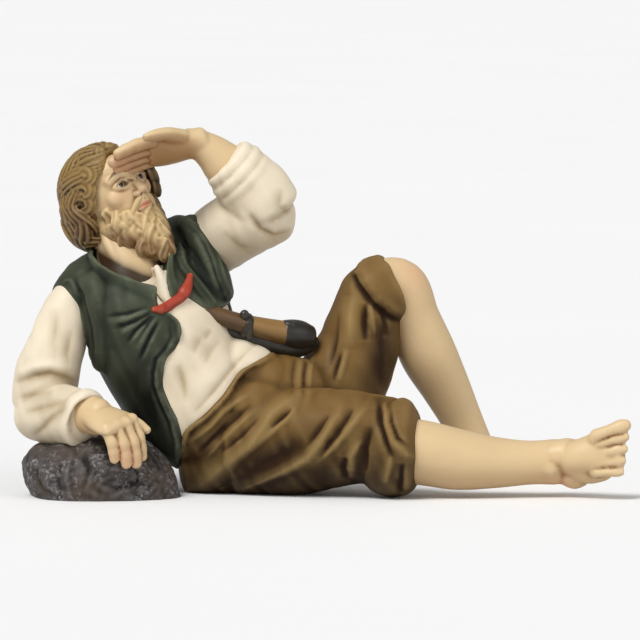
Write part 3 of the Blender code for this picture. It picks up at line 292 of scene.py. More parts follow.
VEST_OPENING = [
    (-33.2, 41.8), (-32.6, 38.8), (-30.4, 37.4), (-28.6, 35.3), (-28.3, 32.9), (-29.7, 30.5), (-31.4, 28.4),
    (-32.1, 25.6), (-32.1, 22.9), (-31, 19.8), (-29, 15.7), (-28.1, 11.6), (-28.2, 8.4), (-28.2, -6),
    (8, -6), (8, 38), (-18, 38.4), (-20.4, 37.8), (-23.2, 38), (-25.2, 39.4), (-26.8, 40.3),
    (-29, 40.8), (-29.6, 42.2), (-30.4, 44), (-30.8, 45.4), (-31, 47), (-31.4, 49.4), (-32, 58),
    (-46.2, 58), (-46.6, 48.4), (-43.4, 45.8), (-40.3, 43.9), (-36.2, 42.5)]
VEST_HEM_POINT = (-29, -9, 8.6)
VEST_HEM_WAY = (-0.911, 0.104, 0.40)


def body_shells(around=72, along=64, rows=TORSO_ROWS):
    """The trunk, one loft from seat to neck, and the belly's ellipsoid."""
    trunk = loft(rows, TORSO_SIDES, around=around, along=along, blunt=0.3)
    return [trunk, ball(BELLY_CENTRE, BELLY_HALF, around=around // 2, rings=along // 2)]


def shirt_body_shells():
    """The shirt's trunk and belly, moved in along the normals by 2.4 mm in the hole for the neck, by
    1 mm below the waist's edge and by 2 mm under the vest."""
    shells = []
    for points, faces in body_shells(150, 130, SHIRT_ROWS):
        normals = shell_normals(points, faces)
        x, z = points[:, 0], points[:, 2]
        front = seen_front(normals)
        hole = ease(inside_depth(x, z, NECK_HOLE), -0.4, 0.8) * front
        below = ease(inside_depth(x, z, WAIST_LINE), 0.6, 1.8)
        under = ease(-inside_depth(x, z, VEST_OPENING), 1.5, 3.5) * front
        shells.append((points - normals * (2.4 * hole + 1 * below + 2 * under)[:, None], faces))
    return shells


def sleeve_r_shells():
    """The right sleeve: a loft down the upper arm and one along the forearm."""
    upper = loft(
        [(-47.8, 0.6, 41.6, 3, 3.8), (-50.7, -2.7, 37.3, 5, 5.9), (-52.7, -4.4, 31, 5.7, 6.2),
         (-54.9, -4.2, 24.5, 6.5, 6.6), (-55.6, -3.8, 19, 6.4, 6.6)], (1, 0, 0.3), around=64, along=60)
    fore = loft(
        [(-56, -3.6, 17.3, 6.4, 6.3), (-53.4, -8, 17, 6.3, 6.1), (-50.4, -11.8, 17, 6, 5.7),
         (-48.2, -14.2, 16.8, 5.6, 5.3)], (0, 0, 1), around=64, blunt=0.5)
    return [upper, fore]


def cuff_r_shells():
    """The turned-back cuff: a flat band carried round the wrist's ellipse."""
    centre, out = np.array([-47.4, -15, 16.8]), unit((0.62, -0.70, -0.28))
    across = unit(np.cross(out, (0, 0, 1)))
    tall = np.cross(across, out)
    turn = np.linspace(0, 2 * np.pi, 25)
    ring = centre + across * 4.9 * np.cos(turn)[:, None] + tall * 5.2 * np.sin(turn)[:, None]
    rows = np.hstack([ring, np.full((25, 1), 0.8), np.full((25, 1), 1.5)])
    sides = across * np.cos(turn)[:, None] + tall * np.sin(turn)[:, None]
    return [loft(rows, sides, around=16, along=80, blunt=0.1)]


def sleeve_l_shells():
    """The left sleeve: lofts from the shoulder up to the elbow and back along the forearm."""
    upper = loft(
        [(-28, 12, 46.6, 6, 6.2), (-22.8, 8.8, 49.9, 6.7, 6.8), (-17, 4, 53.8, 7.1, 7.2),
         (-11.2, 0.2, 57.2, 7.3, 7.2)], (-0.5, 0, 0.86), around=64, along=60)
    fore = loft(
        [(-11.2, -0.2, 57.8, 7.2, 7.1), (-13.4, -0.9, 61.2, 7, 6.8), (-16.2, -1.4, 64.6, 6.2, 6)],
        (0.7, 0, 0.7), along=30, blunt=0.4, around=64)
    return [upper, fore]


def cuff_l_shells():
    """The rolled cuff: three flat rings, one over another, about the forearm."""
    turns = [((-15.4, -1.2, 63.4), 6.7), ((-17, -1.5, 65), 6.5), ((-18.5, -1.8, 66.5), 5.8)]
    ahead = unit((-0.72, -0.15, 0.68))
    shells = []
    for centre, radius in turns:
        rows = [(*(np.asarray(centre) + ahead * s), radius * w, radius * w)
                for s, w in ((-1, 0.95), (-0.5, 0.99), (0, 1), (0.5, 0.99), (1, 0.94))]
        shells.append(loft(rows, (0.7, 0, 0.7), along=12, blunt=0.1, around=48))
    return shells


def shirt_wedge_shells():
    """The strip of shirt that shows at the throat beside the neck."""
    return [loft([(-33, -5, 46.2, 0.8, 0.8), (-32, -6.3, 44, 1.1, 0.9), (-31, -7.6, 41.8, 1.4, 0.9),
                  (-30, -8.7, 39.4, 1.6, 1)], (0.8, 0.3, 0.4), around=20, along=30)]


def vest_shells():
    """The vest: trunk and yoke moved out along their normals by VEST_THICKNESS where the vest covers
    them and in where it does not, most in the hole for the neck, and the side panels."""
    shells = []
    for points, faces in body_shells(190, 170)[:1] + yoke_shells():
        normals = shell_normals(points, faces)
        front = seen_front(normals)
        x, z = points[:, 0], points[:, 2]
        opened = ease(inside_depth(x, z, VEST_OPENING), -0.1, 0.25)
        hem = (points - np.array(VEST_HEM_POINT)) @ unit(VEST_HEM_WAY)
        cover = front * (1 - opened) + (1 - front) * ease(hem, -0.2, 0.3)
        hole = ease(inside_depth(x, z, NECK_HOLE), 0.2, 1.2) * front
        lift = VEST_THICKNESS * cover - 0.7 * (1 - cover) - 2.4 * hole
        shells.append((points + normals * lift[:, None], faces))
    return shells + side_panel_shells()


def side_panel_shells():
    """The vest's sides under each arm: lofts behind the armholes."""
    right = loft([(-47.6, -3, 43.4, 3.4, 3.8), (-45.6, -4.2, 41, 3.6, 6.1), (-44.2, -5.6, 37.4, 4, 6.4),
                  (-43.4, -5.6, 33.4, 3.9, 6.2), (-42.9, -5, 29.6, 3.7, 5.6), (-42.8, -4.2, 27.2, 3.4, 4.4)],
                 (1, 0, 0), along=60, around=56, blunt=0.6)
    left = loft([(-27, 5.6, 54.6, 2.3, 3.4), (-25.6, 5, 52, 2.7, 4.2), (-23.8, 3.8, 49, 2.8, 5.4),
                 (-22.2, 3.4, 45.4, 2.9, 6.2), (-20.9, 3.2, 42.2, 3, 6.3), (-20.2, 3, 40, 2.7, 5.2)],
                (1, 0, 0), along=60, around=56, blunt=0.6)
    return [right, left]


def yoke_shells():
    """The vest's cap over the right shoulder and its strap over the left."""
    right = loft([(-39, 1.5, 45.6, 4.6, 5), (-43.6, -0.4, 43.9, 4.8, 4.8), (-47.6, -1.6, 41.6, 5.2, 4.4),
                  (-50, -2.2, 39.8, 4.8, 3.4)], (0.5, 0.6, 0.6), along=60, around=64, blunt=0.8)
    left = loft([(-36, 4.6, 46, 5, 5), (-31.5, 7.4, 47.6, 6, 5.2), (-27.2, 10, 48.4, 7.2, 5)],
                (-0.3, 0.4, 0.85), along=60, around=64, blunt=0.6)
    return [right, left]


COLLAR = [(-33.4, -7.9, 42.4), (-36.6, -7.2, 43.3), (-40.6, -6, 44.6), (-43.9, -3.4, 46.2), (-46.2, 1, 48.4),
          (-45.6, 5.4, 50.4), (-42.4, 8.6, 51.8), (-37.6, 9.8, 52.6), (-33.4, 8.4, 52.6), (-30.8, 4.4, 51),
          (-30.2, -0.6, 48.2), (-30, -4.6, 45.2), (-29.4, -7, 42.6), (-28.4, -8.2, 40.8)]
# The line in X and Z along which the collar's painted shadow lies on the neck.
COLLAR_SHADOW_LINE = [(-29.6, 42.4), (-33, 42.6), (-36.4, 43.4), (-40.2, 45), (-43.4, 47.2), (-45.6, 49.6)]


def collar_shells(tree):
    """The standing collar: a thin tall band carried round the neck, its rim on COLLAR, which is brought
    forward to the vest wherever the vest stands in front of it."""
    path = spline(COLLAR, 40)
    front = np.flatnonzero(path[:, 1] < 1.5)
    hits = [from_front(tree, path[k, 0], path[k, 2] - 0.9) for k in front]
    depth = np.array([-1e3 if hit is None else hit.y for hit in hits])
    path[front, 1] = np.where(depth < -30, path[front, 1], np.minimum(path[front, 1], depth + 0.1))
    path[1:-1] = (path[:-2] + path[1:-1] + path[2:]) / 3
    middle = np.array([-38.4, 1.6, 47])
    down = unit((0.12, -0.12, -1))
    radial = path - middle
    radial = unit(radial - (radial @ down)[:, None] * down)
    low = path + down * 1.5 + radial * 0.25
    rows = np.hstack([low, np.full((len(path), 1), 0.5), np.full((len(path), 1), 1.9)])
    band = loft(rows, radial, around=24, along=120, blunt=0.2)
    rim = loft(np.hstack([path, np.full((len(path), 2), 0.52)]), radial, around=12, along=120)
    return [band, rim]


VEST_EDGE = [(-30.4, 37.4), (-28.6, 35.4), (-28.4, 32.8), (-29.6, 30.4), (-31.4, 28.4), (-32, 25.6),
             (-32, 23), (-31, 19.8), (-29, 15.6), (-28, 11.6), (-28.2, 8.6)]
ARMHOLE_R = [(-51.6, 43.2), (-50.4, 43.6), (-49, 41.6), (-48, 38), (-47.2, 34.6), (-46.8, 31.2), (-46.6, 27)]
LAPEL = [(-28.6, 50.6), (-27.2, 46.6), (-25.2, 44.2), (-23.2, 41.6), (-21.4, 39)]
ARMHOLE_L = [(-26.6, 55.2), (-23.8, 53.2), (-22.2, 51), (-21, 48.4), (-20, 45.2), (-19, 42.4), (-18, 39.6)]
VEST_LOW_L = [(-18.4, 38.8), (-20.4, 38.1), (-23.2, 38.3), (-25.2, 39.6), (-26.8, 40.5)]


def moved(line, dx, dz):
    """A line in the flat view, moved over."""
    return [(x + dx, z + dz) for x, z in line]


def vest_trims(tree):
    """Cords along the vest's front edge, its armholes, the lapel and the lower edge."""
    return [piping(tree, VEST_EDGE, 0.55, 0.1), piping(tree, ARMHOLE_R, 0.42, 0.3),
            piping(tree, LAPEL, 0.45, 0.35), piping(tree, ARMHOLE_L, 0.45, 0.3),
            piping(tree, VEST_LOW_L, 0.4, 0.2)]


VEST_FOLDS = [
    (-0.6, 0.42, [(-33.8, 37.8), (-37.2, 35.6), (-40.6, 34.6)]),
    (-0.6, 0.42, [(-33.8, 37), (-37, 34), (-38.6, 31.8)]),
    (-0.6, 0.42, [(-33.2, 37), (-35.2, 34), (-37.2, 30.8)]),
    (-0.55, 0.42, [(-32.4, 36), (-34.2, 32.6), (-36.2, 28.4)]),
    (-0.4, 0.4, [(-34.2, 38.6), (-38.6, 37.4), (-42.6, 36.8)]),
    (0.35, 0.5, [(-34.4, 37.4), (-38, 34.8), (-40, 33.2)]),
    (0.35, 0.45, [(-33.2, 36.2), (-35.6, 33.2), (-37.4, 30.4)]),
    (0.3, 0.45, [(-34.4, 38.2), (-38.4, 36.4), (-41.6, 35.6)]),
    (-0.35, 0.35, moved(VEST_EDGE[1:], -1.5, 0)),
    (-0.3, 1.6, [(-45.2, 41), (-44.4, 35.4), (-44.8, 29.4)]),
    (0.35, 2, [(-42, 30.4), (-41.2, 23.4), (-38.4, 15.4)]),
    (-0.35, 1.5, [(-34, 26.4), (-34.4, 20.4), (-32.8, 13.4)]),
    (-0.45, 0.4, moved(LAPEL, 1, 0.3)),
    (-0.3, 0.35, moved(LAPEL, -1.2, -0.6)),
    (-0.35, 0.35, moved(ARMHOLE_L, -1.2, -0.5)),
    (-0.35, 0.9, [(-21.4, 47), (-20, 43.4), (-19.6, 40.2)]),
    (-0.3, 0.35, moved(ARMHOLE_R[1:], 1.2, -0.3)),
]
VEST_BACK_FOLDS = [
    (-0.35, 0.45, [(-38, 48), (-36.6, 38), (-34, 28), (-29, 16)]),
    (-0.5, 1, [(-42, 40), (-41, 30), (-37, 20)]),
    (0.4, 1.2, [(-39.6, 36), (-38.4, 28), (-35, 18)]),
    (-0.5, 1, [(-30, 40), (-29.4, 32), (-26, 22)]),
    (0.4, 1.1, [(-32.4, 38), (-31.4, 30), (-28, 20)]),
]
SHIRT_FOLDS = [
    (-1, 0.8, [(-61.4, 23.2), (-57.2, 25), (-54.2, 25.4), (-50.8, 24.4), (-48.8, 23.2)]),
    (0.5, 0.9, [(-60.4, 25.2), (-56.8, 26.7), (-54, 27.1), (-50.8, 26.2)]),
    (-0.7, 0.8, [(-59.4, 17.4), (-54.8, 19.2), (-49.8, 20.8)]),
    (-0.5, 0.7, [(-60.6, 20.2), (-56.4, 21.4), (-53.2, 22)]),
    (-0.6, 0.8, [(-55.2, 15.4), (-52.8, 17.8), (-50.4, 19.8)]),
    (-0.5, 0.7, [(-57.8, 12.6), (-55, 15.2), (-53.4, 18)]),
    (0.5, 1.3, [(-56.4, 38), (-57, 31.4), (-57.8, 27.6)]),
    (-0.5, 1.1, [(-52.8, 38.4), (-53.4, 31.4), (-53, 28)]),
    (-0.5, 0.7, [(-49.8, 34), (-50.6, 29), (-50.4, 26.4)]),
    (-0.4, 0.8, [(-23.8, 32.6), (-24.8, 30.8), (-25.6, 29.2)]),
    (-0.35, 0.6, [(-22, 34), (-22.6, 32.8), (-23.2, 31.8)]),
    (-0.3, 0.7, [(-20.2, 31.8), (-22, 29.6), (-23.2, 27.2)]),
    (-0.5, 0.9, [(-28.4, 27.4), (-27.4, 23.4), (-27.2, 19.4)]),
    (-0.4, 0.5, [(-13, 31), (-16.6, 27.6), (-21.4, 21.8), (-25.4, 17.6)]),
    (-1, 0.8, [(-14.6, 57), (-12.2, 53.6), (-9.4, 52.2), (-6, 53)]),
    (-0.5, 0.9, [(-20, 53), (-16.6, 50), (-12.4, 49.4)]),
    (0.4, 1, [(-16.8, 57.8), (-14, 53.8), (-10.8, 51)]),
    (-0.5, 0.8, [(-8, 62), (-8.4, 58.4), (-6.4, 56.4)]),
]
SHIRT_BACK_FOLDS = [
    (-0.7, 0.8, [(-60, 26), (-56, 24.4), (-51, 25.6)]),
    (-0.6, 0.8, [(-60, 20.4), (-56, 19.6), (-51, 21.8)]),
    (0.5, 1.2, [(-56, 38), (-57, 31), (-57.4, 27.6)]),
    (-0.6, 0.9, [(-52.6, 37), (-53.2, 31), (-53, 28)]),
    (-0.8, 0.9, [(-16, 58), (-12.4, 55), (-8, 55.6)]),
    (-0.6, 0.9, [(-24, 54), (-19, 51.4), (-14, 51.6)]),
    (0.4, 1.1, [(-24, 51), (-18, 48.6), (-13, 49.4)]),
]


def breeches_shells():
    """The breeches: ellipsoids for seat and lap, and a loft over each thigh."""
    seat = ball((-15, 0.4, 11), (13, 13, 11), around=48, rings=30)
    lap = ball((-8, 2, 19.2), (10.5, 9.5, 9), around=48, rings=30)
    thigh_r = loft(
        [(-16, -3, 11, 10.5, 10.8), (-4, -6.5, 11.4, 10.6, 10.8), (3, -8.8, 12.3, 10.2, 9.8),
         (8, -10.6, 12.4, 9.6, 9.2), (13, -12.2, 11.6, 9, 9)], (0, 1, 0), around=80, along=60, blunt=0.2)
    thigh_l = loft(
        [(-6, 5, 14.4, 9.5, 10), (2.6, 7.2, 20.4, 9.2, 9.4), (7, 8.8, 28, 8.6, 8.5),
         (9, 9.8, 35.2, 8, 7.4), (10.8, 10.6, 39.8, 7.5, 6.8), (14, 11.1, 41.3, 7, 6.1)],
        (0, 1, 0), around=90, along=80, blunt=0.12)
    hip = loft([(-27.4, 0, 6.5, 8, 6.5), (-22, 0, 7.2, 10.5, 7.5), (-15, 0, 8.2, 11.5, 8.3)],
               (0, 1, 0), around=60, along=40, blunt=0.25)
    fold = ball((-12.6, -0.6, 22.4), (8.4, 6.8, 6), around=48, rings=30)
    groin = ball((-14, -4.6, 17.4), (8.6, 7.6, 6.6), around=48, rings=30)
    return [seat, lap, thigh_r, thigh_l, hip, fold, groin]


KNEE_FLAP = [(5.6, 46.5), (8, 42.4), (10.8, 38.8), (13.6, 36.6), (16.2, 35.3), (18, 38), (18, 52), (5, 52)]
FLAP_EDGE = [(6.7, 44.8), (8, 42.6), (10.8, 39), (13.6, 36.7), (16, 35.4)]
WAIST_LINE = [(-28.6, 6), (-28.2, 12.2), (-27.5, 13.9), (-23.3, 17.5), (-19.8, 21.1), (-16, 26.1),
              (-11.5, 28.2), (-9, 29.4), (-9, 45), (12, 45), (12, -6), (-28.6, -6)]
WAIST_EDGE = [(-28.1, 11.4), (-27.4, 13.9), (-23.3, 17.5), (-19.8, 21.1), (-16, 26.1), (-11.5, 28.2)]
WAIST_POINT = (-22, 6, 22)
WAIST_WAY = (0.72, 0, -0.69)


def waist_shells():
    """The waist: the trunk and belly moved out by 0.5 mm below the waist's edge and in above it, by
    3 mm more from 8 mm above it."""
    shells = []
    for points, faces in body_shells(190, 170):
        normals = shell_normals(points, faces)
        front = seen_front(normals)
        depth = inside_depth(points[:, 0], points[:, 2], WAIST_LINE)
        below = ease(depth, -0.15, 0.25)
        behind = ease((points - np.array(WAIST_POINT)) @ unit(WAIST_WAY), -0.2, 0.3)
        cover = front * below + (1 - front) * behind
        lift = 0.5 * cover - (0.9 + 3 * ease(-depth, 3, 8)) * (1 - cover)
        shells.append((points + normals * lift[:, None], faces))
    return shells


def knee_shells():
    """The turned-up hem at the right knee, a short loft, and the left one's folded flap: the thigh's
    own surface moved out by 0.9 mm inside KNEE_FLAP."""
    right = loft([(11.6, -12, 11.6, 8.6, 8.8), (13.6, -12.8, 11, 9.4, 9.9), (16, -13.4, 10.7, 9.5, 9.8),
                  (18, -13.7, 10.6, 8.8, 8.8), (18.7, -13.8, 10.6, 7.9, 7.7)],
                 (0, 1, 0), around=72, along=40, blunt=0.1)
    points, faces = breeches_shells()[3]
    normals = shell_normals(points, faces)
    cover = ease(inside_depth(points[:, 0], points[:, 2], KNEE_FLAP), -0.1, 0.25)
    cover = cover * ease(-normals[:, 1], -0.1, 0.2)
    rear = ease(points[:, 2] + 0.9 * (points[:, 0] - 8), 45, 45.8) * ease(normals[:, 1], -0.1, 0.2)
    cover = np.maximum(cover, rear)
    lift = 0.9 * cover - 0.6 * (1 - cover)
    return [right, (points + normals * lift[:, None], faces)]


BREECHES_FOLDS = [
    (0.9, 1, [(-3.9, 21.1), (-7.2, 19.5), (-9.8, 17.5), (-11.5, 14.8), (-14.5, 10.8), (-17.8, 8.2),
              (-21.8, 4.9), (-24.4, 2.9)]),
    (0.4, 0.5, [(-5.2, 18.8), (-7.2, 16.2), (-10.5, 13.5), (-14.5, 10.2)]),
    (-0.7, 0.45, [(-5.9, 18.5), (-8.4, 16.4), (-10.2, 14.8)]),
    (0.9, 0.85, [(3.4, 18.1), (1.4, 14.8), (-0.5, 11.8), (-2.9, 8.9), (-7.2, 6.5), (-11.8, 4.2),
                 (-16.1, 2.2)]),
    (0.7, 0.6, [(8.7, 19.1), (5.4, 14.8), (2.8, 11.8), (-1.2, 8.2)]),
    (-0.9, 0.55, [(6.1, 18.8), (2.8, 13.5), (-0.5, 8.9)]),
    (-0.6, 0.5, [(1.4, 17.6), (-0.8, 14.4), (-3, 11.4)]),
    (-1.1, 2, [(-2.9, 11.8), (-7.2, 9.5), (-12.2, 6.9), (-17, 4)]),
    (0.6, 0.6, [(7.7, 12.8), (5.8, 9.5), (6.1, 6.2)]),
    (-0.7, 0.55, [(4.8, 9.4), (4.4, 7.2), (4.8, 4.9)]),
    (-0.8, 0.7, [(9.6, 15.6), (8.6, 11.4), (8.4, 6.4)]),
    (0.45, 0.4, [(-14.5, 21.1), (-19.5, 17.8), (-22.1, 14.8), (-26, 11.8)]),
    (-0.5, 0.42, [(-14.5, 18.8), (-18.1, 15.5), (-21.8, 12.2), (-24.4, 9.5)]),
    (0.4, 0.42, [(-12.8, 18.6), (-16.6, 15), (-20.4, 11.4), (-23.2, 8)]),
    (-0.45, 0.42, [(-12.6, 16.6), (-16, 13), (-20, 9.6)]),
    (0.28, 0.45, [(-4, 28.6), (-4.4, 25), (-4.6, 20.5)]),
    (-0.28, 0.4, [(-2.9, 28.6), (-3.4, 25), (-3.6, 20.8)]),
    (0.28, 0.42, [(-1.6, 28.6), (-2.3, 25), (-2.6, 20.8)]),
    (-0.25, 0.5, [(-5.2, 28.6), (-5.8, 25), (-6, 20.8)]),
    (0.8, 1.1, [(6.2, 40), (5.9, 35), (5.6, 29.6)]),
    (0.45, 0.45, [(5, 29.4), (4.2, 26), (3.4, 23)]),
    (-0.45, 0.4, [(4, 28.6), (3, 25.4), (2.4, 23)]),
    (-0.9, 0.65, [(8.8, 38.6), (8.6, 34.6), (8.8, 31)]),
    (0.6, 0.45, [(9.8, 39), (10.2, 35.6), (10.8, 32.2)]),
    (-0.9, 1.6, [(11.2, 35.6), (12.2, 31), (12.4, 26), (11.8, 19)]),
    (-0.6, 0.6, [(12.2, 37.2), (13, 34.6), (13.4, 31.6)]),
    (-0.45, 0.5, [(3.4, 36), (3, 31), (1.6, 26)]),
    (-0.8, 0.45, [(5.6, 45), (7.4, 41.9), (10.2, 38.3), (13.2, 35.9), (15.6, 34.6)]),
    (0.55, 0.45, [(12.4, 20.1), (12.7, 16.2), (14, 12.8), (16.7, 10.2), (18.4, 9.5)]),
    (-0.9, 0.42, [(11.4, 20), (11.7, 16), (12.9, 12.2), (14, 9.6)]),
    (-0.45, 0.36, [(13.6, 19.4), (13.8, 16.6), (15, 13.6), (17.2, 11.6)]),
    (0.5, 0.5, [(13.7, 10.2), (13.1, 6.9), (12.4, 4.2)]),
    (-1.2, 0.8, [(16, 8.6), (15.9, 5), (15.4, 2)]),
]
BREECHES_BACK_FOLDS = [
    (-0.9, 1, [(-22, 12), (-15, 16), (-8, 18)]),
    (0.7, 1.1, [(-22, 9), (-14, 13), (-6, 14.6)]),
    (-0.8, 0.9, [(-4, 26), (-1, 19), (0, 11)]),
    (0.6, 1, [(4, 36), (1.6, 28), (2, 18)]),
    (-0.8, 0.9, [(9, 36), (6, 27), (5, 17)]),
    (-0.7, 0.9, [(12, 26), (9, 20), (4, 12)]),
]


def breeches_trims(tree):
    """The rolled edges of the waist and of the left knee's flap, as cords laid on the breeches."""
    return [piping(tree, moved(WAIST_EDGE, 0.5, -0.45), 0.46, -0.2), piping(tree, FLAP_EDGE, 0.42, 0.1)]


def leg_r_shells():
    """The right leg: a loft along the shin, ellipsoids for both ankle bones, the heel, the instep and the
    foot's outer edge, and the foot."""
    shin = loft(
        [(12, -13, 10.4, 6.6, 6.8), (19.5, -13.8, 9.8, 6.2, 6.5), (27, -13.8, 8.4, 5.9, 6.1),
         (35.5, -13.2, 7.7, 4.8, 5), (42, -12.8, 7.7, 4, 4.4), (46.4, -12.4, 7.8, 4, 4.6)], (0, 1, 0),
        around=48)
    ankle = ball((45.6, -10, 7.6), (2.2, 2.6, 2.2))
    outer = ball((45.2, -15.4, 6.8), (1.8, 1.4, 1.8))
    heel = ball((50.2, -12.8, 5.9), (3.7, 3.4, 3.5))
    instep = ball((48.6, -13.4, 9), (5.4, 3.6, 3.6))
    edge = ball((53.4, -15.2, 7), (5.2, 3, 3.3))
    sole, toes = foot_shells((48.6, -12.2, 7.6), (0.76, -0.56, 0.28), (-0.60, -0.78, 0.10), 15.8, -1,
                             wide=1.30, back=0.16, fan=0.16)
    return softened("leg_mass", [shin, ankle, outer, heel, instep, edge] + sole, 0.3, 26) + toes


def leg_l_shells():
    """The left leg: a loft from the knee down the shin, the knee cap and the foot."""
    shin = loft(
        [(11.5, 10.6, 40.4, 5.6, 6.2), (14.8, 11.2, 41.2, 5.6, 6), (18.4, 11.8, 34.4, 5.3, 5.6),
         (21.6, 12.6, 27.2, 5.7, 5.8), (25.2, 13.6, 20.4, 4.7, 5), (28.8, 14.6, 13, 3.8, 4.2),
         (31.2, 15, 7, 3.7, 4.2)], (0, 1, 0), along=56, around=48)
    knee = ball((15, 11.2, 41.2), (4.9, 5.6, 5))
    sole, toes = foot_shells((31.4, 15.2, 3.8), (0.96, 0.20, -0.06), (0.08, 0.05, 1), 18, 1)
    return softened("leg_mass", [shin, knee] + sole, 0.3, 26) + toes


FOOT_ROWS = ((0, 0, 0.17, 0.20), (0.20, 0.05, 0.18, 0.24), (0.42, 0.03, 0.20, 0.20),
             (0.62, -0.02, 0.235, 0.15), (0.76, -0.05, 0.23, 0.11))
TOES = ((0.20, 0.070), (0.19, 0.050), (0.17, 0.047), (0.145, 0.044), (0.12, 0.043))
PALM_ROWS = ((-0.25, 0.19, 0.17), (0, 0.20, 0.16), (0.45, 0.27, 0.15), (0.85, 0.30, 0.115), (1, 0.28, 0.10))
FINGERS = ((0.46, 0.082, 0.92), (0.50, 0.086, 0.97), (0.47, 0.082, 0.93), (0.38, 0.072, 0.86))
SEGMENTS = (0.46, 0.30, 0.24)


def foot_shells(heel, ahead, top, length, big_toe_side, wide=1, back=0, fan=0):
    """A bare foot: a loft from heel to ball, five toes with a swelling at the last joint, and a raised nail
    on each. big_toe_side is 1 where the big toe is at ahead x top; wide scales the foot across, back starts
    the toes that share of its length nearer the heel, and fan turns them apart. FOOT_ROWS gives share, lift,
    half width and thickness, TOES reach and radius, all in shares of the length."""
    ahead = unit(ahead)
    top = unit(np.asarray(top, float) - (np.asarray(top) @ ahead) * ahead)
    side = np.cross(ahead, top) * big_toe_side
    heel = np.asarray(heel, float)
    rows = [(*(heel + (ahead * share + top * lift) * length), half * wide * length, thick * length)
            for share, lift, half, thick in FOOT_ROWS]
    shells, sole = [], [loft(rows, side, around=32, along=30, blunt=0.9)]
    for k, (reach, radius) in enumerate(TOES):
        across = (0.155 - 0.087 * k) * wide
        reach = (reach + back) * length
        radius = radius * (1 + 1.2 * (wide - 1)) * length
        root = heel + ahead * (0.78 - 0.03 * k - back) * length + side * across * length
        root = root + top * (1.05 * back - 0.075) * length
        way = unit(ahead + side * fan * (1 - k / 1.8)) - top * 0.85 * back * length / reach
        tip = root + way * reach
        middle = root + way * reach * 0.45 + top * 0.014 * length
        rows = [(*root, radius, radius), (*middle, radius * 0.88, radius * 0.9),
                (*(root + way * reach * 0.85), radius * 1.02, radius * 0.92),
                (*tip, radius * 0.8, radius * 0.7)]
        shells.append(loft(rows, side, around=14, along=16, blunt=0.8))
        nail = tip - ahead * 0.10 * reach + top * radius * 0.62
        shells.append(ball(nail, np.array([0.62, 0.66, 0.28]) * radius, [side, ahead, top], 14, 8))
        sole.append(ball(root - ahead * 0.03 * length, [radius * 1.1] * 3, around=16, rings=10))
    return sole, shells


def hand_shells(wrist, ahead, back, length, spread, bends, thumb_side, thumb_bend):
    """A hand: a loft through the palm, four fingers that bend at three joints and swell at each, with a
    nail, and a thumb. ahead runs from the wrist to the knuckles; back is the way its back faces. PALM_ROWS
    gives share, half width and thickness, FINGERS reach, radius and the knuckle's share of the palm."""
    ahead = unit(ahead)
    back = unit(np.asarray(back, float) - (np.asarray(back) @ ahead) * ahead)
    side = np.cross(ahead, back) * thumb_side
    palm_length, wrist = 0.50 * length, np.asarray(wrist, float)
    rows = [(*(wrist + ahead * share * palm_length), half * length, thick * length)
            for share, half, thick in PALM_ROWS]
    shells, palm = [], [loft(rows, side, around=28, along=24, blunt=0.5)]
    for k, (reach, radius, knuckle) in enumerate(FINGERS):
        across = (1.5 - k) / 1.5
        reach, radius = reach * length, radius * length
        root = wrist + ahead * palm_length * knuckle + side * across * 0.20 * length
        way = unit(ahead + side * across * spread)
        points, bend = [root], 0
        for turn, segment in zip(bends, SEGMENTS):
            bend += turn
            turned = way * np.cos(bend) - back * np.sin(bend)
            points.append(points[-1] + turned * segment * reach)
        points = np.array(points)
        middles = (points[:-1] + points[1:]) / 2
        rows = [(*points[0], radius * 1.08, radius * 1.08), (*middles[0], radius * 0.93, radius * 0.95),
                (*points[1], radius, radius * 1.02), (*middles[1], radius * 0.93, radius * 0.92),
                (*points[2], radius * 0.95, radius * 0.95), (*middles[2], radius * 0.9, radius * 0.86),
                (*points[3], radius * 0.84, radius * 0.76)]
        shells.append(loft(rows, side, around=14, along=26, blunt=0.9))
        over = unit(np.cross(turned, side)) * np.sign(np.cross(turned, side) @ back)
        nail = points[3] - turned * 0.10 * reach + over * radius * 0.50
        shells.append(ball(nail, np.array([0.58, 0.75, 0.28]) * radius, [side, turned, over], 14, 8))
        palm.append(ball(root + back * radius * 0.35, [radius * 1.05] * 3, around=16, rings=10))
    root = wrist + ahead * palm_length * 0.25 + side * 0.17 * length
    way = unit(ahead * 0.75 + side * 0.65 - back * thumb_bend)
    way_end = unit(ahead * 0.95 + side * 0.2 - back * thumb_bend)
    middle = root + way * 0.27 * length
    rows = [(*root, 0.10 * length, 0.10 * length), (*middle, 0.078 * length, 0.078 * length),
            (*(middle + way_end * 0.14 * length), 0.078 * length, 0.07 * length),
            (*(middle + way_end * 0.24 * length), 0.055 * length, 0.05 * length)]
    shells.append(loft(rows, side, around=14, along=20, blunt=0.8))
    palm.append(loft(rows[:2], side, around=14, along=10, blunt=0.8))
    return palm, shells


def hand_r_shells():
    """The right hand, laid over the top of the rock with its fingers down the front."""
    arm = loft([(-49.5, -12.6, 17.4, 4.2, 3.8), (-46.2, -15.9, 17.6, 3.9, 3.3), (-44, -18, 17.2, 3.7, 2.8)],
               (0.1, 0.2, 1), along=16)
    palm, fingers = hand_shells((-45.2, -17, 17.5), (0.72, -0.65, -0.24), (0.01, -0.32, 0.94), 16.2, 0.03,
                                np.radians([56, 18, 5]), -1, 0.30)
    return softened("hand_mass", [arm] + palm, 0.24, 20) + fingers


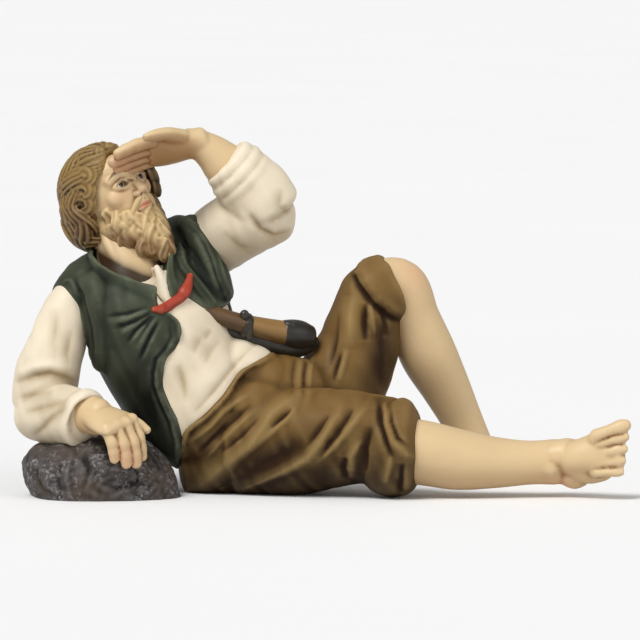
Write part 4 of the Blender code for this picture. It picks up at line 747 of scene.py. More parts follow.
def hand_l_shells():
    """The left forearm and the hand that shades the eyes."""
    arm = loft(
        [(-14.8, -1, 62.4, 4.6, 4.4), (-19.4, -1.8, 66.4, 4.6, 4.3), (-22.2, -2.4, 69, 3.7, 3.4),
         (-24.6, -2.9, 70.4, 3.1, 2.8), (-27, -3.2, 70.8, 3.1, 2.5)], (0.6, 0.2, 0.7))
    palm, fingers = hand_shells((-26, -3.2, 70.7), (-0.965, -0.14, -0.17), (0, 0.62, 0.78), 17, 0.01,
                                np.radians([8, 8, 6]), -1, 0.15)
    return softened("hand_mass", [arm] + palm, 0.24, 20) + fingers


def neck_shells():
    """The neck: a loft from the collar to the jaw, with a cord of muscle down the side nearer the front."""
    top = in_head(0, -0.08 * HEAD_HEIGHT, -0.25 * HEAD_HEIGHT)
    rows = [(-37.4, -0.6, 40.6, NECK_RADIUS * 1.45, NECK_RADIUS * 1.25),
            (-38.6, 0.2, 45, NECK_RADIUS * 1.24, NECK_RADIUS * 1.15),
            (-40.2, 1.6, 50.4, NECK_RADIUS, NECK_RADIUS), (*top, NECK_RADIUS, NECK_RADIUS)]
    shells = [loft(rows, head_frame()[0], along=30, around=48)]
    shells.append(loft([(-37, -5.8, 42, 1, 1), (-41, -4.3, 47.4, 1.1, 1.1), (-44, -1.2, 53.6, 1, 1)],
                       (1, 0, 0), around=12, along=24))
    return shells


def skull_shells():
    """The head: ellipsoids and lofts for skull, jaw, brow, nose, cheeks, lips and chin, in shares of its
    height."""
    axes, size = head_frame(), HEAD_HEIGHT

    def row(left, facing, up, half, deep):
        """A loft's row from shares of the head's height: each times the height, in the head's frame."""
        return (*in_head(left * size, facing * size, up * size), half * size, deep * size)

    def lump(left, facing, up, half, around, rings):
        """An ellipsoid from shares of the head's height: each times the height, in the head's frame."""
        centre = in_head(left * size, facing * size, up * size)
        return ball(centre, np.array(half) * size, axes, around, rings)

    skull = ball(in_head(0, 0, 0), SKULL_HALF, axes, 60, 40)
    jaw = loft([row(0, 0.13, 0.14, 0.29, 0.305), row(0, 0.17, -0.04, 0.285, 0.285),
                row(0, 0.19, -0.20, 0.25, 0.26), row(0, 0.22, -0.35, 0.19, 0.20),
                row(0, 0.26, -0.46, 0.12, 0.13)], axes[0], around=60, along=40)
    brow = loft([row(-0.23, 0.33, 0.09, 0.05, 0.045), row(-0.12, 0.405, 0.115, 0.05, 0.045),
                 row(0, 0.425, 0.10, 0.045, 0.04), row(0.12, 0.405, 0.115, 0.05, 0.045),
                 row(0.23, 0.33, 0.09, 0.05, 0.045)], axes[2], around=16, along=30)
    nose = loft([row(0, 0.42, 0.06, 0.032, 0.03), row(0, 0.465, -0.03, 0.04, 0.035),
                 row(0, 0.505, -0.105, 0.05, 0.045)], axes[0], around=20, along=20)
    soft, parts = [skull, jaw, brow], [nose]
    for way in (-1, 1):
        parts.append(lump(way * 0.05, 0.455, -0.125, (0.04, 0.045, 0.03), 16, 10))
        soft.append(lump(way * 0.165, 0.298, -0.08, (0.12, 0.095, 0.11), 20, 12))
        parts.append(lump(way * 0.140, 0.362, 0.012, (0.082, 0.066, 0.062), 24, 16))
        ear = [row(way * 0.345, -0.01, 0.075, 0.028, 0.05), row(way * 0.372, -0.05, 0.03, 0.03, 0.065),
               row(way * 0.362, -0.045, -0.05, 0.028, 0.055), row(way * 0.335, -0.01, -0.11, 0.026, 0.035)]
        parts.append(loft(ear, axes[0], around=20, along=24))
    for up, out, thick in ((-0.235, 0.445, 0.020), (-0.272, 0.437, 0.024)):
        parts.append(loft([row(-0.10, out - 0.035, up, thick * 0.5, thick * 0.6),
                           row(-0.05, out, up, thick, thick), row(0, out + 0.008, up, thick, thick),
                           row(0.05, out, up, thick, thick),
                           row(0.10, out - 0.035, up, thick * 0.5, thick * 0.6)], axes[2], 12, 20))
    soft.append(lump(0, 0.37, -0.42, (0.10, 0.08, 0.09), 20, 12))
    soft.append(loft([row(0, 0.40, 0.10, 0.055, 0.04), row(0, 0.43, 0, 0.05, 0.04),
                      row(0, 0.44, -0.14, 0.07, 0.05), row(0, 0.42, -0.26, 0.10, 0.05)], axes[0],
                     around=24, along=30))
    return softened("head_mass", soft + neck_shells(), 0.24, 22) + parts


EYE_LEFT = 0.140
EYE_UP = 0.012
EYE_HALF_WIDTH = 0.066
EYE_HALF_HEIGHT = 0.031
EYE_SHOWS = 0.428
EYE_RADIUS = 0.070


def head_share(points):
    """Each point in the head's own left, facing and up directions, in shares of the head's height."""
    return (points - np.asarray(HEAD_CENTRE)) @ head_frame().T / HEAD_HEIGHT


def eye_slit(local):
    """How far inside the slit of either eye a point lies, in shares: h (1 - (l / w)^2) - |u|, its outer
    corner a little higher than its inner one."""
    left = np.abs(local[:, 0]) - EYE_LEFT
    tilt = 0.06 * left
    rise = local[:, 2] - EYE_UP - tilt
    height = np.where(rise > 0, 1.12, 0.88) * EYE_HALF_HEIGHT * (1 - (left / EYE_HALF_WIDTH) ** 2)
    return height - np.abs(rise)


def mirrored(strokes):
    """Strokes given for one side of the face, and the same on the other."""
    return strokes + [(h, w, [(-x, z) for x, z in line]) for h, w, line in strokes]


FACE_STROKES = mirrored([
    (-0.35, 1, [(1.3, 0.9), (1.5, 0.1)]),
    (0.30, 0.28, [(1.45, 0.2), (2.1, 0.75), (2.95, 0.95), (3.7, 0.75), (4.35, 0.35)]),
    (-0.25, 0.25, [(1.7, 1.15), (2.9, 1.55), (4.3, 1)]),
    (0.20, 0.26, [(1.6, -0.05), (2.6, -0.45), (3.6, -0.30), (4.2, 0.15)]),
    (-0.10, 0.36, [(1.7, -0.85), (2.8, -1.15), (4, -0.8)]),
    (0.22, 0.45, [(1.1, 2), (2.2, 2.75), (3.4, 2.85), (4.7, 2.1)]),
    (-0.14, 0.5, [(1.35, -2.6), (1.9, -3.5), (2.5, -4.6)]),
    (-0.35, 0.22, [(0.45, -3.25), (0.85, -3.1)]),
]) + [
    (-0.15, 0.25, [(0, -3.7), (0, -4.5)]),
    (-0.30, 0.20, [(-2, -5.3), (-0.9, -5.15), (0, -5.25), (0.9, -5.15), (2, -5.3)]),
    (-0.45, 0.7, [(-1, -6.5), (0, -6.6), (1, -6.5)]),
]


def face_out(points, normals):
    """The face's fine relief: strokes in its own left and up plane, and both eye slits sunk by 1.1 mm."""
    local = head_share(points)
    flat = local * HEAD_HEIGHT
    turned = normals @ head_frame().T
    out = strokes_out(flat, turned, FACE_STROKES, facing=(0, 1, 0))
    slit = ease(eye_slit(local), -0.001, 0.006) * ease(local[:, 1], 0.2, 0.25)
    return out - 1.1 * slit


def eye_shells():
    """Both eyeballs, as spheres behind the lids."""
    size = HEAD_HEIGHT
    shells = []
    for way in (-1, 1):
        centre = in_head(way * EYE_LEFT * size, (EYE_SHOWS - EYE_RADIUS - 0.022) * size, EYE_UP * size)
        shells.append(ball(centre, [EYE_RADIUS * size] * 3, head_frame()[[0, 2, 1]], 72, 36))
    return shells


def lock(points, thick, flat=0.6, along=24, around=44, strands=7, twist=1.6, depth=0.13):
    """A lock of hair carried through points and thickest at its middle, its strands standing out round it
    as depth thick cos(n a + twist pi share)."""
    points = np.asarray(points, float)
    share = np.linspace(0, 1, len(points))
    swell = 0.35 + 0.65 * np.sin(np.pi * (0.12 + 0.80 * share)) ** 0.8
    out = unit(points - in_head(0, 0, 0))
    ahead = unit(np.gradient(points, axis=0))
    side = unit(np.cross(ahead, out))
    rows = np.column_stack([points, thick * swell, thick * flat * swell])

    def strand(angle, part):
        """The strands' relief: depth thick cos(n angle + twist pi part)."""
        return depth * thick * np.cos(strands * angle + twist * part * np.pi)

    return loft(rows, side, around=around, along=along, blunt=0.8, relief=strand)


def face_window(points):
    """1 over the face and 0 under the hair, from the direction of each point out of the head."""
    local = unit((points - in_head(0, 0, 0)) @ head_frame().T / SKULL_HALF)
    turn = np.degrees(np.abs(np.arctan2(local[:, 0], local[:, 1])))
    height = np.degrees(np.arcsin(np.clip(local[:, 2], -1, 1)))
    side = 78 - 22 * ease(height, 5, 40) - 70 * ease(height, 34, 56)
    side = side + 40 * ease(-height, 20, 60)
    return ease(side - turn, -3, 3)


def hair_shells():
    """The hair: an ellipsoid drawn in where the face shows, flat locks combed back from the brow and down
    from the crown, curls over the ears, waves at the nape and small curls on the far temple."""
    axes = head_frame()
    size = SKULL_HALF + HAIR_DEPTH * 0.75
    points, faces = ball(in_head(0, 0, 0), size, axes, around=120, rings=60)
    centre = in_head(0, 0, 0)
    shells = [(centre + (points - centre) * (1 - 0.30 * face_window(points)[:, None]), faces)]
    shells.append(ball(in_head(0, -0.24 * HEAD_HEIGHT, -0.25 * HEAD_HEIGHT),
                       np.array([0.29, 0.22, 0.24]) * HEAD_HEIGHT, axes))
    rng = np.random.default_rng(11)
    for side in (-1, 1):
        for k in range(11):
            start, height = 4 + 7.6 * k, 56 - 4.2 * k
            spots = []
            for s in np.linspace(0, 1, 11):
                turn = side * (start + (164 - 0.70 * start) * s)
                up = height + 27 * np.sin(np.pi * s) * (1 - 0.08 * k) - (30 + 3.2 * k) * s
                up += 2.4 * np.sin(6 * s + 0.9 * k)
                spots.append(on_head(turn, up, -0.95 + 0.25 * np.sin(5 * s + 1.3 * k)))
            shells.append(lock(spots, 2, flat=0.46, along=50, around=54, strands=9, twist=1.2))
        for k in range(5):
            spots = []
            for s in np.linspace(0, 1, 9):
                turn = side * (88 + 14 * k + 8 * np.sin(6 * s + 1.3 * k) + 8 * s)
                spots.append(on_head(turn, 18 - 2 * k - (56 + 2 * k) * s, -0.5 + 0.9 * np.sin(3.1 * s)))
            shells.append(lock(spots, rng.uniform(1.6, 1.9), flat=0.5, along=40))
        for k in range(3):
            spots = []
            for s in np.linspace(0, 1, 9):
                swirl = 4.4 * s + 0.5 * k
                turn = side * (66 + 8 * k + (13 - 7 * s) * np.cos(swirl))
                up = 25 - 14 * k + (12 - 7 * s) * np.sin(swirl)
                spots.append(on_head(turn, up, -0.7 + 0.7 * s))
            shells.append(lock(spots, rng.uniform(1.2, 1.4), flat=0.6, along=36, strands=5))
    for k in range(9):
        turn0 = 102 + 19.5 * k
        spots = []
        for s in np.linspace(0, 1, 10):
            curl = 7 * s + 0.9 * k
            spots.append(on_head(turn0 + 9 * np.sin(curl), -10 - 48 * s + 4 * np.cos(curl),
                                 -0.2 + 1.4 * np.sin(np.pi * s)))
        shells.append(lock(spots, rng.uniform(1.8, 2.2), flat=0.6, along=44))
    for k in range(16):
        spots = []
        for s in np.linspace(0, 1, 9):
            turn = 74 + 14.2 * k + 6 * np.sin(5 * s + k)
            spots.append(on_head(turn, 86 - 74 * s, -0.85 + 0.3 * np.sin(4 * s + k)))
        shells.append(lock(spots, 2, flat=0.46, along=44, around=54, strands=9))
    for k in range(3):
        spots = [on_head(62 + 7 * np.cos(5.2 * s + k), 10 - 12 * k + 7 * np.sin(5.2 * s + k), 0.3 + 0.7 * s)
                 for s in np.linspace(0, 1, 9)]
        shells.append(lock(spots, 1.15, flat=0.9, along=30, strands=4))
    for k in range(3):
        spots = [on_head(-16 + 15 * k + 11 * s * (1 if k % 2 else -1), 52 + 12 * s - 16 * s * s,
                         -0.9 + 0.8 * np.sin(np.pi * s)) for s in np.linspace(0, 1, 6)]
        shells.append(lock(spots, 1.2, strands=5))
    return shells


BEARD_ROWS = ((8, 1.45, -0.27, 0.30, 0.005), (8, 0.95 * 1.45, -0.40, 0.32, 0.025),
              (5, 0.62 * 1.45, -0.55, 0.26, 0.03))


def beard_shells():
    """The beard: lofts for its mass under the jaw, rows of broad wavy locks over it and a moustache.
    BEARD_ROWS gives a row's number of locks, its reach to either side in radians, its top, its drop and how
    far it stands out, in shares of the head's height."""
    axes, size = head_frame(), HEAD_HEIGHT

    def at(left, facing, up):
        """A point from shares of the head's height: each times the height, in the head's frame."""
        return in_head(left * size, facing * size, up * size)

    edge = [(0.30, 0.02, -0.20, 0.06, 0.04), (0.24, 0.14, -0.40, 0.10, 0.06), (0.10, 0.27, -0.56, 0.13, 0.08)]
    rows = [(*at(-l, f, u), w * size, d * size) for l, f, u, w, d in edge]
    rows.append((*at(0, 0.30, -0.60), 0.15 * size, 0.10 * size))
    rows += [(*at(l, f, u), w * size, d * size) for l, f, u, w, d in edge[::-1]]
    mass = loft(rows, axes[2], around=24, along=40)
    chin = [(0.33, -0.34, 0.10, 0.06), (0.34, -0.50, 0.15, 0.10), (0.33, -0.64, 0.13, 0.10),
            (0.32, -0.76, 0.07, 0.06)]
    front = loft([(*at(0, f, u), w * size, d * size) for f, u, w, d in chin], axes[0], around=24, along=20)
    shells = [mass, front]
    for row, (count, reach, top, drop, out) in enumerate(BEARD_ROWS):
        for k in range(count):
            around = ((k + 0.5) / count * 2 - 1) * reach
            spots = []
            for s in np.linspace(0, 1, 8):
                wide = 0.30 - 0.10 * s - 0.04 * row
                left = wide * np.sin(around) + 0.042 * np.sin(5.6 * s + 2.1 * k + row)
                facing = 0.09 + (0.29 + 0.02 * s) * np.cos(around) + out
                up = top - drop * s + 0.14 * (1 - np.cos(around)) + 0.015 * np.cos(8 * s + k)
                spots.append(at(left, facing, up))
            shells.append(lock(spots, 2.15 - 0.1 * row, along=30, around=48, strands=6, depth=0.085))
    for way in (-1, 1):
        for k in range(2):
            spots = [at(way * (0.02 + 0.15 * s + 0.01 * k), 0.468 - 0.10 * s * s - 0.01 * k,
                        -0.175 - 0.014 * k - 0.13 * s * s - 0.02 * k * s) for s in np.linspace(0, 1, 6)]
            shells.append(lock(spots, 0.62, flat=0.7, around=28, strands=4))
    return shells


ROCK_CENTRE = (-44.6, -10, 5.6)
ROCK_PLANES = [
    (-1, -0.15, 0.10, 15.6), (-0.75, -0.65, 0.06, 14.2), (-0.80, -0.2, -0.56, 13.2), (0.05, -1, 0.10, 11.3),
    (-0.38, -0.92, 0.16, 11.7), (0.48, -0.86, 0.16, 12.2), (0, -0.76, 0.65, 8.9), (-0.42, -0.6, 0.68, 10.2),
    (-0.05, 0.1, 1, 6.2), (-0.46, -0.1, 0.89, 10.4), (1, -0.1, 0.1, 16), (0.6, -0.3, 0.75, 9.9),
    (0, 1, 0.1, 9.4), (-0.7, 0.7, 0.1, 12.4), (0.7, 0.7, 0.1, 12), (0, 0, -1, 7)]


def rock_shells():
    """The rock: the space inside ROCK_PLANES, its radius along u the soft least of distance / (normal . u),
    r = (sum of (max(n . u, 0) / d)^14)^(-1/14), and ellipsoids for its swellings."""
    heights, turns = np.radians(np.linspace(-88, 88, 90)), np.linspace(0, 2 * np.pi, 140, endpoint=False)
    up, turn = np.meshgrid(heights, turns, indexing="ij")
    way = np.stack([np.cos(up) * np.cos(turn), np.cos(up) * np.sin(turn), np.sin(up)], axis=-1).reshape(-1, 3)
    way = np.vstack([way, [(0, 0, -1), (0, 0, 1)]])
    planes = np.asarray(ROCK_PLANES)
    reach = np.maximum(way @ unit(planes[:, :3]).T, 0) / planes[:, 3]
    points = np.asarray(ROCK_CENTRE) + way * ((reach ** 14).sum(axis=1) ** (-1 / 14))[:, None]
    boulder = capped(points[:-2].reshape(*up.shape, 3), points[-2:])
    crest = ball((-45.8, -9.5, 8.8), (7, 8, 4.8))
    swell = ball((-42, -15, 5.6), (9, 6, 5.6))
    left = ball((-54.2, -9, 6.6), (5.4, 8, 5))
    return [boulder, crest, swell, left]


ROCK_STROKES = [
    (0.7, 0.7, [(-49.8, 9.4), (-50.4, 5), (-49.6, 1.4)]),
    (-0.6, 0.9, [(-51.8, 9), (-52.4, 4.6), (-51.4, 1.2)]),
    (-0.5, 0.6, [(-46.8, 10.4), (-46, 6.4), (-47.6, 2)]),
    (0.4, 0.8, [(-44.6, 8), (-41, 7.2), (-37, 7.8)]),
    (-0.6, 0.7, [(-44, 4.6), (-40.2, 3.4), (-36, 4.4), (-33.4, 3.4)]),
    (-0.6, 0.6, [(-37.4, 8.8), (-36, 5.6), (-37, 2.2)]),
    (0.4, 0.6, [(-57.6, 8.4), (-55, 6.4), (-54.2, 2.6)]),
    (-0.5, 0.5, [(-56, 8.8), (-56.6, 5.4), (-55.2, 2)]),
    (-0.4, 0.5, [(-42.6, 10.8), (-41.4, 8.4), (-42.4, 6)]),
]


def rock_out(points, normals):
    """Chips and hollows: strokes, and sums of bent sines over the rock at 1 to 5 mm."""
    x, y, z = points.T
    bend = 1.3 * np.sin(0.7 * x + 0.9 * y) + 1.1 * np.sin(0.9 * z - 0.5 * y)
    rough = 0.14 * np.sin(1.1 * x + 0.7 * z + bend) + 0.07 * np.sin(2.3 * z - 1.9 * y + 1.7 * bend)
    chips = 0.12 * np.abs(np.sin(0.9 * x - 1.4 * z + bend))
    return strokes_out(points, normals, ROCK_STROKES, lean=0.3) + rough - chips


def flask_shells():
    """The flask's body: one loft from its mouth to its end."""
    return [loft(
        [(-23.8, -4.9, 37.6, 1.9, 1.9), (-22.8, -4.6, 37.2, 1.5, 1.55), (-20.6, -3.8, 36.3, 1.7, 1.75),
         (-16.6, -2, 34.8, 1.9, 2), (-12, -0.2, 33.4, 2.3, 2.4), (-7.6, 1.4, 32.3, 2.6, 2.6),
         (-4.6, 2.6, 31.8, 2.3, 2.4)], (0, 0.3, 1), around=40, along=60, blunt=0.4)]


def flask_band_shells():
    """The knotted band, the cap and a dark fold under the flask that fills the gap to the lap."""
    knot = loft([(-15.9, -1.6, 34.4, 2.35, 2.45), (-15.3, -1.4, 34.2, 2.6, 2.7),
                 (-14.7, -1.2, 34, 2.35, 2.45)], (0, 0.3, 1), around=32, along=10, blunt=0.2)
    bow = [ball((-15.5, -3.2, 36.4), (1, 0.9, 1.1)), ball((-14.5, -3.2, 33), (0.8, 0.8, 1.3))]
    end = loft([(-7.6, 1.4, 32.4, 2.75, 2.75), (-6, 2, 32.2, 3, 2.9), (-4, 2.8, 31.9, 2.9, 2.7),
                (-2.4, 3.4, 31.6, 2.3, 2.2)], (0, 0.3, 1), around=32, along=20, blunt=0.5)
    cap = ball((-6.6, 0.6, 34.2), (1.5, 1.2, 0.9))
    fold = loft([(-18.6, -1.8, 33.2, 0.9, 0.9), (-14.6, -0.6, 31.6, 1.5, 1.4), (-10.2, 1, 30.2, 1.9, 1.8),
                 (-6, 2.6, 29.4, 2.1, 2.1), (-3, 3.8, 29.9, 1.8, 1.8), (-1.4, 4.2, 30.6, 1.2, 1.2)],
                (0, 1, 0), around=28, along=40)
    return [knot, end, cap, fold] + bow


TIE_LINE = [(-33.4, 38.2), (-31.4, 38.3), (-29.6, 39.3), (-27.8, 40.8), (-26.7, 42.6), (-26.4, 44.4)]


def tie_shells(tree):
    """The cord that draws the vest together: two strands twisted about a line laid on the vest, its radius
    0.46 mm and 0.72 mm more at its middle."""
    rows = laid(tree, TIE_LINE, 0)
    rows[:, 1] = np.minimum(rows[:, 1], np.linspace(rows[0, 1], rows[-1, 1], len(rows)))
    size = 0.46 + 0.72 * np.sin(np.pi * np.linspace(0.08, 0.90, len(rows))) ** 0.9

    def twist(angle, share):
        """Two strands laid round each other: 0.10 cos(2 angle + 14 share)."""
        return 0.10 * np.cos(2 * angle + 14 * share)

    return [loft(np.column_stack([rows, size, size]), (0.1, 1, 0.1), around=32, along=60, relief=twist)]


# Making a carved piece from its shells

def shell_mesh(name, shells):
    """One mesh that holds every shell, in metres."""
    points, faces = merged(shells)
    made = bpy.data.meshes.new(name)
    made.from_pydata((points * MM).tolist(), [], faces)
    made.update()
    return made


def arrays(mesh):
    """The positions and normals of a mesh's vertices, positions in millimetres."""
    points = np.empty(len(mesh.vertices) * 3)
    mesh.vertices.foreach_get("co", points)
    normals = np.empty(len(mesh.vertices) * 3)
    mesh.vertices.foreach_get("normal", normals)
    return points.reshape(-1, 3) / MM, normals.reshape(-1, 3)


def edge_pairs(mesh):
    """The two vertices of each edge of a mesh."""
    pairs = np.empty(len(mesh.edges) * 2, np.int32)
    mesh.edges.foreach_get("vertices", pairs)
    return pairs.reshape(-1, 2)


def joined(name, shells, voxel, passes):
    """The shells made one skin by a voxel grid, then softened."""
    rough = bpy.data.objects.new(name + "_rough", shell_mesh(name + "_rough", shells))
    bpy.context.scene.collection.objects.link(rough)
    block = rough.modifiers.new("join", "REMESH")
    block.mode = "VOXEL"
    block.voxel_size = voxel * MM
    soft = rough.modifiers.new("soften", "SMOOTH")
    soft.factor = 0.5
    soft.iterations = passes
    bpy.context.view_layer.update()
    graph = bpy.context.evaluated_depsgraph_get()
    mesh = bpy.data.meshes.new_from_object(rough.evaluated_get(graph))
    bpy.data.objects.remove(rough)
    return mesh


def softened(name, shells, voxel, passes):
    """The shells joined and softened into one shell, for finer shells to be added to."""
    mesh = joined(name, shells, voxel, passes)
    points = arrays(mesh)[0]
    faces = [tuple(polygon.vertices) for polygon in mesh.polygons]
    bpy.data.meshes.remove(mesh)
    return [(points, np.array([face if len(face) == 4 else (*face, face[-1]) for face in faces]))]


def relaxed(values, pairs, rounds):
    """Values averaged with their neighbours': v = (v + mean of its neighbours) / 2, some rounds."""
    first, second = pairs.T
    count = len(values)
    degree = np.bincount(first, minlength=count) + np.bincount(second, minlength=count)
    for _ in range(rounds):
        total = np.empty_like(values)
        for axis in range(values.shape[1]):
            column = values[:, axis]
            total[:, axis] = np.bincount(first, column[second], count)
            total[:, axis] += np.bincount(second, column[first], count)
        values = 0.5 * values + 0.5 * total / np.maximum(degree, 1)[:, None]
    return values


def stand_on_ground(mesh):
    """Cuts the mesh off flat at the ground and closes the cut."""
    shape = bmesh.new()
    shape.from_mesh(mesh)
    everything = shape.verts[:] + shape.edges[:] + shape.faces[:]
    bmesh.ops.bisect_plane(shape, geom=everything, dist=1e-7, plane_co=(0, 0, 0), plane_no=(0, 0, -1),
                           clear_outer=True)
    open_edges = [edge for edge in shape.edges if edge.is_boundary]
    bmesh.ops.holes_fill(shape, edges=open_edges, sides=0)
    shape.to_mesh(mesh)
    shape.free()
    mesh.update()


NEAR_ROUNDS = 5
WIDE_ROUNDS = 50


def painted_masks(mesh, fine, broad, extra):
    """Where glazing gathers and painted shade lies, and where paint rubs thin and painted highlight lies.
    With p' a position relaxed some rounds and n the normal, h = (p' - p) . n is above 0 in a hollow and below
    0 on a crest; each mask is a clipped share of it. under is how far the surface looks down, for painted
    shade."""
    points, normals = arrays(mesh)
    pairs = edge_pairs(mesh)
    near = relaxed(points, pairs, NEAR_ROUNDS)
    wide = relaxed(near, pairs, WIDE_ROUNDS)
    small = np.einsum("ij,ij->i", near - points, normals)
    large = np.einsum("ij,ij->i", wide - points, normals)
    masks = {
        "hollow": np.clip(np.maximum(small / fine, large / broad), 0, 1),
        "crest": np.clip(np.maximum(-small / fine, -large / broad * 0.8), 0, 1),
        "under": ease(-normals[:, 2], -0.3, 0.9),
    }
    masks.update(extra(points - SHIFT, normals) if extra else {})
    for name, values in masks.items():
        attribute = mesh.attributes.new(name, "FLOAT", "POINT")
        attribute.data.foreach_set("value", values.astype(np.float32))


def carved(name, shells, voxel, passes, material, out=None, fine=0.05, broad=0.45, extra=None):
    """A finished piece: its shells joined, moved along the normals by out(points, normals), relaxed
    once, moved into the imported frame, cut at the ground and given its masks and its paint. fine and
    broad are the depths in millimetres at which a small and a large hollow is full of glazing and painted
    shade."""
    mesh = joined(name, shells, voxel, passes)
    points, normals = arrays(mesh)
    if out is not None:
        points = points + normals * out(points, normals)[:, None]
        points = relaxed(points, edge_pairs(mesh), 1)
    mesh.vertices.foreach_set("co", ((points + SHIFT) * MM).ravel())
    mesh.update()
    if points[:, 2].min() < -SHIFT[2]:
        stand_on_ground(mesh)
    painted_masks(mesh, fine, broad, extra)
    mesh.name = name
    mesh.materials.clear()
    mesh.materials.append(material)
    mesh.shade_smooth()
    piece = bpy.data.objects.new(name, mesh)
    bpy.context.scene.collection.objects.link(piece)
    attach(piece, "root")
    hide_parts("shepherd")


# Paint

def group(name, inputs, outputs):
    """An empty node group with named sockets; an input is a name, a kind and a value."""
    made = bpy.data.node_groups.new(name, "ShaderNodeTree")
    for label, kind, value in inputs:
        socket = made.interface.new_socket(name=label, in_out="INPUT", socket_type="NodeSocket" + kind)
        socket.default_value = value
    for label, kind in outputs:
        made.interface.new_socket(name=label, in_out="OUTPUT", socket_type="NodeSocket" + kind)
    return made, made.nodes.new("NodeGroupInput"), made.nodes.new("NodeGroupOutput")


def wire(tree, source, target):
    """A link from a socket, or a value set on one."""
    if isinstance(source, bpy.types.NodeSocket):
        tree.links.new(source, target)
    elif source is not None:
        target.default_value = source


def maths(tree, operation, first, second=None, third=None, clamp=False):
    """A math node and its result."""
    node = tree.nodes.new("ShaderNodeMath")
    node.operation, node.use_clamp = operation, clamp
    for value, socket in zip((first, second, third), node.inputs):
        wire(tree, value, socket)
    return node.outputs[0]


def mixed(tree, share, first, second, blend="MIX"):
    """A colour mix and its result."""
    node = tree.nodes.new("ShaderNodeMix")
    node.data_type, node.blend_type = "RGBA", blend
    wire(tree, share, node.inputs["Factor"])
    wire(tree, first, node.inputs[6])
    wire(tree, second, node.inputs[7])
    return node.outputs[2]


def noise(tree, vector, scale, detail=3, rough=0.55):
    """A noise texture's value."""
    node = tree.nodes.new("ShaderNodeTexNoise")
    tree.links.new(vector, node.inputs["Vector"])
    node.inputs["Scale"].default_value = scale
    node.inputs["Detail"].default_value = detail
    node.inputs["Roughness"].default_value = rough
    return node.outputs["Fac"]


def ramp(tree, value, low, high):
    """A value read as a share between low and high."""
    node = tree.nodes.new("ShaderNodeMapRange")
    wire(tree, value, node.inputs["Value"])
    wire(tree, low, node.inputs["From Min"])
    wire(tree, high, node.inputs["From Max"])
    return node.outputs["Result"]


def glaze_and_light_group():
    """Antique painting with painted light: the base colour goes to the deep one in hollows, as glazing
    gathered there and as painted shade, and where the surface looks down, as painted shade; to the bright one
    on crests, as pale paint rubbed on and as painted highlight; and varies in patches."""
    made, into, out = group("antique_glaze_and_painted_light", [
        ("Base", "Color", (0.5, 0.5, 0.5, 1)), ("Deep", "Color", (0.1, 0.1, 0.1, 1)),
        ("Bright", "Color", (1, 1, 1, 1)), ("Hollow", "Float", 0), ("Crest", "Float", 0),
        ("Under", "Float", 0), ("Vector", "Vector", (0, 0, 0)), ("Glaze and shade", "Float", 0.8),
        ("Dry brush and highlight", "Float", 0.4), ("Shade", "Float", 0.3), ("Patch", "Float", 0.15)],
        [("Color", "Color")])
    vector = into.outputs["Vector"]
    patches = noise(made, vector, 160, 3)
    streaks = noise(made, vector, 1100, 4, 0.65)
    worn = maths(made, "MULTIPLY_ADD", streaks, 0.9, 0.45)
    # Hollows take the deep colour: glazing gathered there, and painted shade.
    deep = maths(made, "MULTIPLY", into.outputs["Hollow"], into.outputs["Glaze and shade"])
    deep = maths(made, "MULTIPLY", deep, worn)
    # Painted shade where the surface looks down.
    shade = maths(made, "MULTIPLY", into.outputs["Under"], into.outputs["Shade"])
    deep = maths(made, "ADD", deep, shade, clamp=True)
    colour = mixed(made, deep, into.outputs["Base"], into.outputs["Deep"])
    # Crests take the bright colour: pale paint rubbed on, and painted highlight.
    bright = maths(made, "MULTIPLY", into.outputs["Crest"], into.outputs["Dry brush and highlight"])
    bright = maths(made, "MULTIPLY", bright, worn, clamp=True)
    colour = mixed(made, bright, colour, into.outputs["Bright"])
    value = maths(made, "SUBTRACT", patches, 0.5)
    value = maths(made, "MULTIPLY_ADD", value, into.outputs["Patch"], 1)
    grey = made.nodes.new("ShaderNodeCombineColor")
    for socket in grey.inputs[:3]:
        made.links.new(value, socket)
    made.links.new(mixed(made, 1, colour, grey.outputs[0], "MULTIPLY"), out.inputs["Color"])
    return made


def brush_group():
    """The paint's own surface: brush drag and specks as a height, and a roughness that varies."""
    made, into, out = group("brushed_paint", [
        ("Vector", "Vector", (0, 0, 0)), ("Roughness", "Float", 0.45), ("Vary", "Float", 0.12),
        ("Hollow", "Float", 0), ("Drag", "Float", 1)], [("Height", "Float"), ("Roughness", "Float")])
    vector = into.outputs["Vector"]
    stretch = made.nodes.new("ShaderNodeMapping")
    stretch.inputs["Scale"].default_value = (1, 1, 0.28)
    made.links.new(vector, stretch.inputs["Vector"])
    drag = noise(made, stretch.outputs["Vector"], 3200, 2)
    specks = noise(made, vector, 5200, 2)
    broad = noise(made, vector, 420, 2)
    height = maths(made, "MULTIPLY_ADD", drag, into.outputs["Drag"], specks)
    made.links.new(maths(made, "MULTIPLY_ADD", broad, 1.6, height), out.inputs["Height"])
    patch = maths(made, "SUBTRACT", noise(made, vector, 700, 3), 0.5)
    rough = maths(made, "MULTIPLY_ADD", patch, into.outputs["Vary"], into.outputs["Roughness"])
    rough = maths(made, "MULTIPLY_ADD", into.outputs["Hollow"], 0.15, rough, clamp=True)
    made.links.new(rough, out.inputs["Roughness"])
    return made


GLAZE_AND_LIGHT = glaze_and_light_group()
BRUSH = brush_group()


def reading(tree, name):
    """A mask of the surface, as a value."""
    node = tree.nodes.new("ShaderNodeAttribute")
    node.attribute_name = name
    return node.outputs["Fac"]


def placed(tree, kind, values):
    """A node group in a material, its inputs set or linked."""
    node = tree.nodes.new("ShaderNodeGroup")
    node.node_tree = kind
    for label, value in values.items():
        wire(tree, value, node.inputs[label])
    return node


